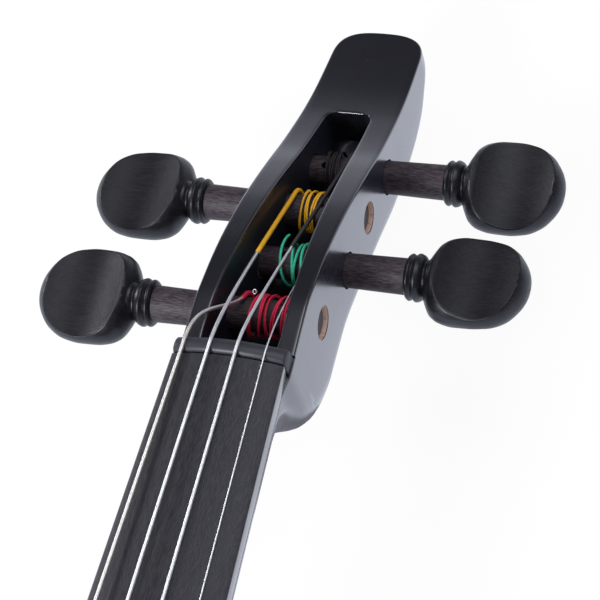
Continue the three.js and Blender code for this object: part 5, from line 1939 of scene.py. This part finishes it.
@dataclass(frozen=True)
class Tailpiece:
    """Crowned tailpiece with four fine tuners."""

    length: float = 90.99
    head_half: float = 21.0
    end_half: float = 11.0
    thick: float = 6.0
    corner: float = 0.9
    lever_width: float = 3.0
    swing: float = 1.4
    screw_shaft: float = 1.7
    screw_head: float = 3.8
    screw_rise: float = 4.5
    screw_tall: float = 4.5
    widths: Table = ((0, 0.97), (0.03, 1), (0.4, 0.8), (0.8, 0.62), (0.97, 0.53), (1, 0.5))

    def ring(self, share: float, shrink: float) -> list[Vector]:
        """Cross section of the plate.

        Args:
            share: place along it from the bridge's end.
            shrink: how far the ring is drawn in, for rounded ends.

        Returns:
            The ring's points.
        """
        wide = read_smooth(self.widths, share)[0]
        half = self.end_half + (self.head_half - self.end_half) * (wide - 0.5) / 0.5 - shrink
        r = self.corner
        radius = self.length / 2
        points = [
            (x, -0.6 * (radius - sqrt(radius ** 2 - x * x)) - shrink)
            for x in steps_between(-half + r * 0.7, half - r * 0.7, 22)
        ]
        edge = points[-1][1]
        points += [(half - r * 0.3, edge - r * 0.18), (half, edge - r), (half, -self.thick + r + shrink)]
        points += arc((half - r, -self.thick + r + shrink), r, 0, -90, 3)[1:]
        points += other_side(points[23:])
        return [Vector((x, -self.length * share, z)) for x, z in points]

    def build(self) -> None:
        """Shape, slot and drill the plate, then add its tuners."""
        rows = [(0, 0.9), (0.004, 0.35), (0.011, 0), (0.03, 0)]
        rows += [(share, 0) for share in steps_between(0.06, 0.96, 24)]
        rows += [(0.989, 0), (0.996, 0.35), (1, 0.9)]
        past = 6
        tools = []
        for one in STRINGS:
            x, fork, half = TAIL.string_x(one.order), -TAIL.fork_inset, TAIL.lever_thick / 2
            wide = self.lever_width / 2 + S.seat_gap
            back = fork - half - TAIL.ball_length - self.swing - 2 * S.run_gap
            ahead = fork + half + S.run_gap
            tools.append(block((x - wide, back, -self.thick - past), (x + wide, ahead, past)))
            hole = self.screw_shaft + S.seat_gap
            tools.append(rod(hole, -self.thick - past, past, "z", (x, fork - TAIL.lever_arm, 0)))
        for hand in (-1, 1):
            at = (hand * S.gut_spread, 0, -self.thick / 2)
            tools.append(rod(
                S.gut_radius + S.seat_gap, -self.length - past, -self.length * 0.88, "y", at, 24,
            ))
        bm = TAIL.laid(carved(grown([self.ring(share, shrink) for share, shrink in rows]), tools))
        publish(bm, "tailpiece_shaped", Look.SMOOTH_MOULDED, ["tailpiece"])
        for one in STRINGS:
            self.tuner(one)

    def tuner(self, one: String) -> None:
        """One fine tuner: bent lever, knurled screw and the string's ball.

        Args:
            one: the string that it tunes.
        """
        x = TAIL.string_x(one.order)
        softened(f"fine_tuner_lever_{one.name}", Look.NICKEL, 0.3, 60)
        tip = -self.thick - S.run_gap + S.seat_gap / 2
        low, high = self.screw_rise, self.screw_rise + self.screw_tall
        head, shaft = self.screw_head, self.screw_shaft
        rows = [
            (low, shaft, 0), (low, head * 0.8, 0), (low + 0.25, head * 0.92, 0.4), (low + 0.6, head, 1),
            (high - 1.1, head, 1), (high - 0.7, head * 0.97, 0.6), (high - 0.3, head * 0.86, 0),
            (high - 0.05, head * 0.72, 0), (high, head * 0.6, 0), (high - 0.25, head * 0.5, 0),
            (high - 0.3, 0.2, 0),
        ]
        at = (x, -TAIL.fork_inset - TAIL.lever_arm, 0)
        thread = []
        for z in steps_between(tip + 0.6, low + 0.3, 46):
            thread.append((z, shaft - (0.16 if round((z - tip) / 0.12) % 2 else 0)))
        profile = [(tip, 0), (tip, shaft * 0.6), (tip + 0.3, shaft * 0.85), *thread, (low + 0.3, 0)]
        bm = combined([turned(profile, "z", at, 32), fluted(rows, 22, 0.3, "z", at)])
        node = f"fine_tuner_screw_{one.name}"
        publish(TAIL.laid(bm), f"{node}_knurled", Look.BRASS, [node], 45, f"tuner_screw_{one.name}")
        start = TAIL.fork_inset + TAIL.lever_thick / 2 + S.seat_gap / 2
        end = start + TAIL.ball_length
        wide, bore = TAIL.ball_radius, one.radius + 2 * S.seat_gap
        outer = [(start, bore), (start, wide * 0.8), (start + 0.2, wide * 0.93), (start + 0.5, wide),
                 (start + 1.1, wide * 0.86), (end - 1.1, wide * 0.86), (end - 0.5, wide),
                 (end - 0.2, wide * 0.93), (end, wide * 0.8), (end, bore), (start, bore)]
        ball = turned(outer, "-y", (x, 0, TAIL.fork_line), 28)
        node = f"string_ball_{one.name}"
        rides = f"tuner_lever_{one.name}"
        publish(TAIL.laid(ball), f"{node}_turned", Look.BRASS, [node], body=rides)


@dataclass(frozen=True)
class TailEnd:
    """Saddle, end button and the gut between them."""

    saddle_rise: float = 5.0
    neck: float = 3.2
    neck_length: float = 3.6
    head: float = 6.6
    head_length: float = 5.5

    def gut_line(self, tail: Tailpiece) -> list[Vector]:
        """The gut's middle line: over the saddle, round the button and back.

        Args:
            tail: the tailpiece that it holds.

        Returns:
            Its points.
        """
        side = [TAIL.at(S.gut_spread, -tail.length + back, -tail.thick / 2) for back in (9.1, 0, -1.1)]
        clear = S.gut_radius + S.seat_gap
        top = S.body_depth + self.saddle_rise + clear
        out = S.body_lower_end - clear
        over = (
            (S.body_lower_end + S.saddle_depth / 2, top),
            (S.body_lower_end + S.gut_radius, top - S.gut_radius * 0.3),
            (out, top - S.gut_radius * 2), (out, S.body_depth * 0.8),
        )
        side += [(S.gut_spread, y, z) for y, z in over]
        loop = [(x, out, z) for x, z in arc((0, S.body_depth / 2), self.neck + clear, 0, -180, 12)]
        return spline([*side, *loop, *other_side(side)], 3, centripetal=True)

    def build(self, tail: Tailpiece) -> None:
        """Make the saddle, the button and the gut.

        Args:
            tail: the tailpiece that they hold.
        """
        y, z = S.body_lower_end, S.body_depth - S.saddle_sink
        deep, top = S.saddle_depth, S.saddle_sink + self.saddle_rise
        curve = [bent((deep, top * 0.75), (deep, top), (deep / 2, top), t) for t in steps_between(0, 1, 8)]
        profile = [(0, 0), (deep, 0), *curve, *[(deep - a, b) for a, b in reversed(curve[:-1])]]
        rings = []
        for x, shrink in ((-1, 0.08), (-0.985, 0.02), (-0.96, 0), (0.96, 0), (0.985, 0.02), (1, 0.08)):
            section = [(deep / 2 + (a - deep / 2) * (1 - shrink), b * (1 - shrink * 0.5)) for a, b in profile]
            rings.append([(x * S.saddle_half, y + a, z + b) for a, b in section])
        publish(grown(rings), "saddle_polished", Look.NUT, ["saddle"], 50)
        start, end = self.neck_length, self.neck_length + self.head_length
        shank, reach = S.button_shank, S.button_reach
        rows = [(-reach, 0), (-reach, shank * 0.8), (-shank, shank), (-0.3, shank), (0.3, self.neck),
                (start - 0.3, self.neck), (start, self.neck + 0.3), (start, self.head * 0.78)]
        for t in steps_between(0, 1, 14):
            dome = sqrt(max(0.0, 1 - max(0.0, (t - 0.12) / 0.95) ** 3.2))
            foot = 0.9 + 0.1 * min(1, t * 5)
            rows.append((start + self.head_length * (0.06 + 0.94 * t), self.head * dome * foot))
        button = turned([*rows, (end, 0)], "-y", (0, y, S.body_depth / 2), 56)
        publish(button, "end_button_turned", Look.NUT, ["end_button"], 50)
        gut = tube(self.gut_line(tail), S.gut_radius, 14)
        publish(gut, "tail_gut_bent", Look.GUT, ["tail_gut"], 80)


# Chin rest


@dataclass(frozen=True)
class ChinRest:
    """Dished oval cup on cork pads, drawn down by a clamp with two barrels."""

    across: float = -64.0
    along: float = -118.97
    half_length: float = 41.0
    half_width: float = 27.0
    lift: float = 45.0
    thick: float = 15.0
    rim: float = 4.0
    dish_radius: float = 62.0
    dish_depth: float = 7.5
    lip_radius: float = 2.6
    lip_blend: float = 1.6
    cork: float = 2.4
    barrel: float = 3.2
    barrel_rod: float = 1.5
    plate_thick: float = 2.6
    spacing: float = 24.0
    reach: float = 13.0
    grip_share: float = 0.865

    def cup(self) -> Mesh:
        """Oval cup with a rounded rim that runs into the dish.

        Returns:
            The cup.
        """
        top = self.lift + self.thick
        flat_past = 3500

        def ring(inset: float, z: float | None, share: float = 1.0) -> list[Vector]:
            """Oval ring, lying on the dish where no height is given.

            Args:
                inset: distance in from the rim.
                z: its height, if it has one.
                share: share of the way from the middle.

            Returns:
                Its points.
            """
            points = []
            for k in range(96):
                turn = TURN * k / 96
                x = (self.half_length - inset) * share * cos(turn)
                y = (self.half_width - inset) * share * sin(turn)
                fall = self.dish_radius - sqrt(self.dish_radius ** 2 - min(x * x + y * y, flat_past))
                above = fall - self.dish_depth
                low = top - self.lip_blend * log(exp(-above / self.lip_blend) + 1)
                points.append(Vector((self.across + x, self.along + y, low if z is None else z)))
            return points

        rim, soft = self.rim, self.lip_radius
        rings = [ring(rim, self.lift, share) for share in (0.02, 0.3, 0.6, 0.85)]
        rings += [ring(rim - a, self.lift + rim + b) for a, b in arc((0, 0), rim, -90, 0, 7)]
        for a, b in arc((0, 0), soft, 0, 90, 7):
            edge = ring(soft - a, None)
            for point, above in zip(edge, ring(soft, None)):
                point.z = above.z - soft + b
            rings.append(edge)
        return grown(rings + [ring(soft, None, share) for share in steps_between(1, 0.02, 22)[1:]])

    def build(self, frames: SideFrames) -> None:
        """Make the cup, its feet, the pads and the clamp.

        Args:
            frames: the side frames; the clamp grips the bass one.
        """
        seat, way = along_line(frames.path(-1), self.grip_share)
        laid = shift((seat.x, seat.y, 0)) @ Matrix.Rotation(atan2(way.y, way.x), 4, "Z")
        rod_top, cup_low = frames.lift + frames.rod_height, self.lift + self.rim
        wide, long = frames.rod_width * 0.62, self.spacing / 2 + self.barrel
        foot = eased(block((-long, -self.reach, rod_top + self.cork), (long, wide, cup_low)), 1.2, 50, 4)
        places = [(hand * self.spacing / 2, self.barrel + S.seat_gap - self.reach) for hand in (-1, 1)]
        socket = self.barrel_rod + S.seat_gap
        foot = carved(foot, [rod(socket, 0, self.lift + S.seat_gap, "z", (x, y, 0), 24) for x, y in places])
        x, y = wide + self.cork - S.body_half, self.along + self.cork
        inner = block((x - wide, y - long, S.body_depth + self.cork), (x + wide, y + long, cup_low))
        bm = combined([self.cup(), moved(foot, laid), eased(inner, 0.8, 50, 4)])
        publish(bm, "chin_rest_moulded", Look.MOULDED, ["chin_rest"], 40)
        for pad in ("chin_rest_cork_outer", "chin_rest_cork_inner", "clamp_cork"):
            softened(pad, Look.CORK, 0.25)
        softened("clamp_plate", Look.NICKEL, 0.5, 60)
        plate_top = frames.lift - self.cork
        low, high = plate_top - self.plate_thick, self.lift - S.seat_gap
        start, end = plate_top + S.seat_gap, rod_top + self.cork - S.seat_gap
        thin, thick = self.barrel_rod, self.barrel
        rows = [(low, 0), (low, thin), (start, thin), (start, thick * 0.8), (start + 0.5, thick * 0.93),
                (start + 1.5, thick), (end - 1.5, thick), (end - 0.5, thick * 0.93), (end, thick * 0.8),
                (end, thin), (high, thin), (high, 0)]
        for i, (x, y) in enumerate(places):
            key_hole = rod(0.9, -6, 6, "x", (x, y, (start + end) / 2), 20)
            bm = moved(carved(turned(rows, "z", (x, y, 0), 40), [key_hole]), laid)
            publish(bm, f"clamp_barrel_{i + 1}_turned", Look.NICKEL, [f"clamp_barrel_{i + 1}"])


# Electronics


@dataclass(frozen=True)
class Controls:
    """Sockets, switch and volume control on the treble side, and the rear cover."""

    proud: float = 1.5
    wall_in: float = 24.7
    under: float = 24.4
    knob_radius: float = 8.0
    knob_length: float = 10.0
    knob_ribs: int = 14
    shaft_radius: float = 3.0
    screw_head: float = 2.1
    bodies: Table = ((7.0, 24.0, 13.0, 5.5, 3.35), (5.5, 15.0, 13.0, 3.8, 1.9), (7.0, 12.0, 13.0, 4.3, 3.3))

    def socket(self, name: str, row: Point, y: float, z: float) -> None:
        """Boxed socket or control with a threaded bush through the body's wall.

        Args:
            name: the CAD node that it replaces.
            row: half width, reach, height, bush radius and bore radius.
            y: where it stands along the body.
            z: the bush's height.
        """
        half, reach, height, bush, bore = row
        wall, end, back = self.wall_in, S.body_half + self.proud, self.wall_in - reach * 0.7
        box = eased(block((wall - reach, y - half, self.under - height), (wall, y + half, self.under)), 0.4)
        thread = [(x, bush - 0.12 * (k % 2)) for k, x in enumerate(steps_between(wall, end - 0.5, 40))]
        rows = [(wall - 0.3, 0), (wall - 0.3, bush), *thread, (end - 0.15, bush - 0.1), (end, bush - 0.4),
                (end, bore + 0.35), (end - 0.35, bore), (back, bore), (back, 0)]
        box = carved(box, [rod(bore, back, 60, "x", (0, y, z), 40)])
        bm = combined([box, turned(rows, "x", (0, y, z), 48)])
        publish(bm, f"{name}_fitted", Look.SMOOTH_MOULDED, [name])

    def knob(self, y: float, z: float) -> Mesh:
        """Fluted knob with a pointer groove and a socket for its shaft.

        Args:
            y: where it stands along the body.
            z: its axis height.

        Returns:
            The knob.
        """
        r, long, start = self.knob_radius, self.knob_length, S.body_half + self.proud + S.seat_gap
        rows = [
            (0, r * 0.9, 0.4), (0.2, r * 0.97, 0.8), (0.6, r, 1), (long * 0.8, r * 0.985, 1),
            (long * 0.9, r * 0.95, 0.8), (long * 0.97, r * 0.87, 0.3), (long, r * 0.78, 0),
            (long, r * 0.6, 0), (long - 0.25, r * 0.55, 0), (long - 0.3, r * 0.1, 0),
        ]
        end = start + long
        groove = block((end - 0.8, y - 0.45, z + r * 0.2), (end + 2, y + 0.45, z + r * 0.86))
        bore = rod(self.shaft_radius + S.seat_gap, -6, long * 0.7 + S.seat_gap, "x", (start, y, z), 32)
        return carved(fluted(rows, self.knob_ribs, r * 0.07, "x", (start, y, z)), [bore, groove])

    def screw(self, x: float, y: float) -> Mesh:
        """Cross-slotted cover screw.

        Args:
            x: where it stands across.
            y: where it stands along.

        Returns:
            The screw.
        """
        head, shank, top, long, wide = self.screw_head, 1.3, 1.8, 1.25, 0.24
        thread = [(z, shank - 0.18 * (k % 2)) for k, z in enumerate(steps_between(top + 0.4, 8.6, 22))]
        rows = [(0.3, 0), (0.3, head * 0.7), (0.45, head * 0.92), (0.7, head), (top, head), (top, shank),
                *thread, (9, 0.8), (9, 0)]
        cross = [block((x - a, y - b, -1), (x + a, y + b, 1.1)) for a, b in ((long, wide), (wide, long))]
        return cut_in_turn(turned(rows, "z", (x, y, 0), 32), cross)

    def build(self, body: CentreBody) -> None:
        """Make the sockets, the switch, the knob and the cover.

        Args:
            body: the body that holds them.
        """
        line, phone, _, volume = body.control_y
        z = body.control_z
        names = ("line_out_jack", "headphone_jack", "volume_pot")
        for name, row, y in zip(names, self.bodies, (line, phone, volume)):
            self.socket(name, row, y, z)
        end = S.body_half + self.proud + S.seat_gap + self.knob_length * 0.7
        r, inner = self.shaft_radius, 18.7
        rows = [(inner, 0), (inner, r), (end - 0.3, r), (end, r - 0.3), (end, 0)]
        shaft = turned(rows, "x", (0, volume, z), 40)
        rides = "volume_control"
        publish(shaft, "volume_shaft_turned", Look.NICKEL, ["volume_shaft"], body=rides)
        knob = self.knob(volume, z)
        publish(knob, "volume_knob_fluted", Look.MOULDED, ["volume_knob"], 40, rides)
        softened("power_switch", Look.SMOOTH_MOULDED, 0.35)
        dressed("switch_housing", Look.MOULDED)
        dressed("circuit_board", Look.BOARD)
        half, places = body.cover_half, body.screw_places()
        cover = eased(block((-half, body.cover_far, 0), (half, body.cover_near, body.cover_thick)), 0.5)
        for x, y in places:
            cover = cut_in_turn(cover, [
                rod(1.6, -6, 6, "z", (x, y, 0), 28), rod(2.4, -6, 1.8, "z", (x, y, 0), 32),
            ])
        publish(cover, "rear_cover_moulded", Look.MOULDED, ["rear_cover"])
        for i, (x, y) in enumerate(places):
            node = f"cover_screw_{i + 1}"
            publish(self.screw(x, y), f"{node}_slotted", Look.BLACK_SCREW, [node], 30)


@dataclass(frozen=True)
class Battery:
    """Battery in its bay, under a hinged door."""

    start: float = 40.0
    length: float = 48.5
    width: float = 26.5
    height: float = 17.5
    terminal_height: float = 3.0
    door_thick: float = 2.5
    door_margin: float = 3.0
    hinge: float = 1.65
    pin: float = 0.7

    @property
    def half(self) -> float:
        """Half width of the battery's bay."""
        return self.width / 2 + S.run_gap

    @property
    def end(self) -> float:
        """Far end of the battery's bay."""
        return self.start + self.length + self.terminal_height + 2 * S.run_gap

    @property
    def hinge_at(self) -> tuple[float, float]:
        """The hinge line's place along the body and its height."""
        return self.end + self.door_margin - self.hinge - S.run_gap, self.hinge + S.seat_gap

    def bay_tools(self) -> list[Mesh]:
        """What the battery and its door need cut out of the body.

        Returns:
            The tools.
        """
        gap = S.seat_gap
        y, z = self.hinge_at
        door = self.half + self.door_margin
        low, high = self.start - self.door_margin, self.end + self.door_margin
        deep, wide = self.door_thick + 2 * gap + self.height + S.run_gap, door + 2 * self.door_margin
        return [
            block((-self.half, self.start, -6), (self.half, self.end, deep)),
            block((-door - gap, low - gap, -6), (door + gap, high + gap, self.door_thick + gap)),
            rod(self.hinge + S.run_gap, -door - gap, door + gap, "x", (0, y, z), 32),
            rod(self.pin + gap, -wide, wide, "x", (0, y, z), 20),
        ]

    def build(self) -> None:
        """Make the battery, its terminals and the door."""
        low = self.door_thick + S.seat_gap
        start = self.start + S.run_gap
        half = self.width / 2
        cell = eased(block((-half, start, low), (half, start + self.length, low + self.height)), 1.0, 50, 4)
        publish(cell, "battery_jacket", Look.CELL, ["battery"])
        root, tip = self.length - 0.02, self.length + self.terminal_height
        for name, hand in (("minus", -1), ("plus", 1)):
            rows = [(root, 0), (root, 2.8), (root + 0.5, 2.8), (root + 0.6, 2.2),
                    (tip - 0.4, 2.2 + 0.2 * hand), (tip - 0.1, 2.1), (tip, 1.9), (tip, 1.1), (tip - 1.2, 0.9),
                    (tip - 1.2, 0)]
            cap = turned(rows, "y", (hand * half * 0.5, start, low + self.height / 2), 32)
            publish(cap, f"battery_terminal_{name}", Look.NICKEL, ["battery"])
        y, z = self.hinge_at
        door, near = self.half + self.door_margin, self.start - self.door_margin
        leaf = cut_in_turn(eased(block((-door, near, 0), (door, y, self.door_thick)), 0.4), [
            rod(self.hinge, -door - 6, door + 6, "x", (0, y, z), 40),
            rod(9, -6, 0.9, "z", (0, near - 0.5, 0), 48),
        ])
        bore, r = self.pin + S.seat_gap, self.hinge
        rows = [(-door, bore), (-door, r - 0.2), (-door + 0.2, r), (door - 0.2, r), (door, r - 0.2),
                (door, bore), (-door, bore)]
        bm = combined([leaf, turned(rows, "x", (0, y, z), 40)])
        rides = "battery_lid"
        publish(bm, "battery_door_moulded", Look.MOULDED, ["battery_door"], body=rides)
        reach = door + self.door_margin
        pin = rod(self.pin, -reach, reach, "x", (0, y, z), 24)
        publish(pin, "battery_door_pin_drawn", Look.NICKEL, ["battery_door_pin"])


# Studio


@dataclass(frozen=True)
class Studio:
    """White floor and surround, soft lamps, and the photograph's camera."""

    camera_place: Point = (166.66, 111.27, 488.79)
    camera_axes: Table = (
        (0.94660861, 0.24275924, -0.21213225), (-0.106563, 0.85663713, 0.50479417),
        (0.30426381, -0.45523706, 0.83676923),
    )
    lens: float = 150.8
    floor_half: float = 3000.0
    floor_drop: float = 0.2
    floor_grey: str = "#e6e6e6"
    floor_shine: str = "#ecf1ff"
    floor_gain: float = 1.15
    white: str = "#ffffff"
    white_share: float = 0.92
    surround_light: float = 0.55
    canopy_radius: float = 2400.0
    canopy_greys: tuple = (
        (0, "#c8c8d2"), (0.12, "#a6a6b0"), (0.25, "#70707a"), (0.4, "#505058"), (0.55, "#42424a"),
        (0.8, "#7a7a85"), (1, "#9c9ca8"),
    )
    # Painted shadow: a dark disc that only shiny surfaces see, standing for the head's shade on the floor.
    painted_shade_place: Point = (5, 335, 0.1)
    painted_shade_radius: float = 14.0
    painted_shade_grey: str = "#84848c"

    def white_for_sight(self, on: Surface) -> Socket:
        """Tell the rays that are to see white from those that carry the lamps' light.

        Args:
            on: the floor or the world.

        Returns:
            1 for camera, mirror and glass rays, 0 for all others.
        """
        rays = on.add("LightPath").node.outputs
        first = on.add("Math", {0: rays["Is Camera Ray"], 1: rays["Is Glossy Ray"]}, operation="MAXIMUM")
        return on.add("Math", {0: first, 1: rays["Is Transmission Ray"]}, operation="MAXIMUM")

    def surround(self) -> None:
        """White world for sight and an even pale grey for light."""
        world = bpy.data.worlds.new("pale_surround")
        bpy.context.scene.world = world
        on = Surface(world)
        light = on.add("Background", {0: linear(self.white), 1: self.surround_light})
        white = on.add("Background", {0: linear(self.white), 1: 1.0})
        seen = on.add("MixShader", {0: self.white_for_sight(on), 1: light, 2: white})
        on.add("OutputWorld", {"Surface": seen})

    def floor(self) -> None:
        """Matt white floor under the violin's flat back, clear when seen from below."""
        bm = bmesh.new()
        bmesh.ops.create_grid(bm, x_segments=1, y_segments=1, size=self.floor_half * MM)
        material = bpy.data.materials.new("matt_white_paper")
        on = Surface(material)
        lit = on.add("BsdfDiffuse", {0: linear(self.floor_grey)})
        white = on.add("Emission", {0: linear(self.white), 1: 1.0})
        cool = on.add("Emission", {0: linear(self.floor_shine), 1: self.floor_gain})
        sight = on.add("MixShader", {0: on.add("LightPath", out="Is Glossy Ray"), 1: white, 2: cool})
        share = on.add("Math", {0: self.white_for_sight(on), 1: self.white_share}, operation="MULTIPLY")
        front = on.add("MixShader", {0: share, 1: lit, 2: sight})
        behind, clear = on.add("NewGeometry", out="Backfacing"), on.add("BsdfTransparent")
        on.add("OutputMaterial", {"Surface": on.add("MixShader", {0: behind, 1: front, 2: clear})})
        self.put_up(moved(bm, shift((0, 0, -self.floor_drop))), "studio_floor", material)

    def canopy(self) -> None:
        """Grey studio dome that only shiny surfaces see, darker toward its foot.

        It stands for the unlit room over a white table, and it keeps black lacquer black.
        """
        bm = bmesh.new()
        bmesh.ops.create_uvsphere(bm, u_segments=48, v_segments=24, radius=self.canopy_radius * MM)
        bmesh.ops.reverse_faces(bm, faces=bm.faces)
        material = bpy.data.materials.new("grey_canopy_cloth")
        on = Surface(material)
        up = on.add("SeparateXYZ", {0: on.add("TexCoord", out="Object")}, out="Z")
        height = on.add("Math", {0: up, 1: self.canopy_radius * MM}, operation="DIVIDE")
        grey = on.add("ValToRGB", {0: height}, self.canopy_greys)
        on.add("OutputMaterial", {"Surface": on.add("Emission", {0: grey, 1: 1.0})})
        self.put_up(bm, "studio_canopy", material, for_shine=True)

    def painted_shade_disc(self) -> None:
        """Dark round card on the table under the pegbox's lower end that only shiny surfaces see: a painted
        shadow for the head's own shade on the floor, which keeps that end's lacquer dark in its reflection.
        """
        bm = bmesh.new()
        bmesh.ops.create_circle(bm, cap_ends=True, segments=48, radius=self.painted_shade_radius * MM)
        material = bpy.data.materials.new("painted_shade_material")
        on = Surface(material)
        on.add("OutputMaterial", {"Surface": on.add("Emission", {0: linear(self.painted_shade_grey), 1: 1.0})})
        self.put_up(moved(bm, shift(self.painted_shade_place)), "studio_painted_shade", material, for_shine=True)

    def put_up(self, bm: Mesh, name: str, material: bpy.types.Material, for_shine: bool = False) -> None:
        """Put up a piece of the studio.

        Args:
            bm: its mesh, freed here.
            name: its name.
            material: its material.
            for_shine: True where only shiny surfaces see it.
        """
        mesh = filled(name, bm)
        mesh.materials.append(material)
        made = linked(name, mesh)
        if for_shine:
            mesh.polygons.foreach_set("use_smooth", [True] * len(mesh.polygons))
            made.visible_camera = False
            made.visible_diffuse = False
            made.visible_shadow = False
            made.visible_transmission = False

    def lamp(self, name: str, place: Point, aim: Point, size: float, watts: float) -> None:
        """Soft square lamp.

        Args:
            name: the lamp's name.
            place: where it hangs, in millimetres.
            aim: what it points at, in millimetres.
            size: side of its square, in millimetres.
            watts: its power.
        """
        data = bpy.data.lights.new(name, "AREA")
        data.size = size * MM
        data.energy = watts
        way = (Vector(aim) - Vector(place)).normalized()
        linked(name, data).matrix_world = shift(place) @ way.to_track_quat("-Z", "Y").to_matrix().to_4x4()

    def camera(self) -> None:
        """Camera at the photograph's place and angle."""
        data = bpy.data.cameras.new("photograph_camera")
        data.lens = self.lens
        data.sensor_width = 36.0
        data.clip_start = 0.01
        data.clip_end = 50.0
        made = linked("photograph_camera", data)
        made.matrix_world = shift(self.camera_place) @ Matrix(self.camera_axes).transposed().to_4x4()
        bpy.context.scene.camera = made

    def build(self) -> None:
        """Set up everything around the violin."""
        self.surround()
        self.floor()
        self.canopy()
        # painted shadow under the pegbox's lower end, seen only in reflections
        self.painted_shade_disc()
        self.lamp("lamp_on_bass_side", (-1250, 650, 560), (0, 250, 40), 350, 6)
        self.lamp("lamp_over_tail", (-500, -900, 950), (0, 150, 40), 500, 26)
        self.lamp("lamp_past_head", (330, 830, 1450), (0, 330, 40), 1000, 9)
        self.camera()
        bpy.context.scene.view_settings.view_transform = "Standard"


def main() -> None:
    """Build every sub-assembly, dress what is left, and set up the studio."""
    logging.basicConfig(level=logging.INFO, format="%(name)s: %(message)s")
    head = Head()
    head.build(PEGS)
    pegs = {peg.name: peg for peg in PEGS}
    for peg in PEGS:
        peg.build(head)
    for one in STRINGS:
        one.build(head, pegs[one.name])
    Nut().build()
    Fingerboard().build()
    body, battery, frames, tail = CentreBody(), Battery(), SideFrames(), Tailpiece()
    body.build(battery)
    battery.build()
    frames.build(body)
    Bridge().build()
    tail.build()
    TailEnd().build(tail)
    ChinRest().build(frames)
    Controls().build(body)
    Studio().build()


if __name__ == "__main__":
    main()
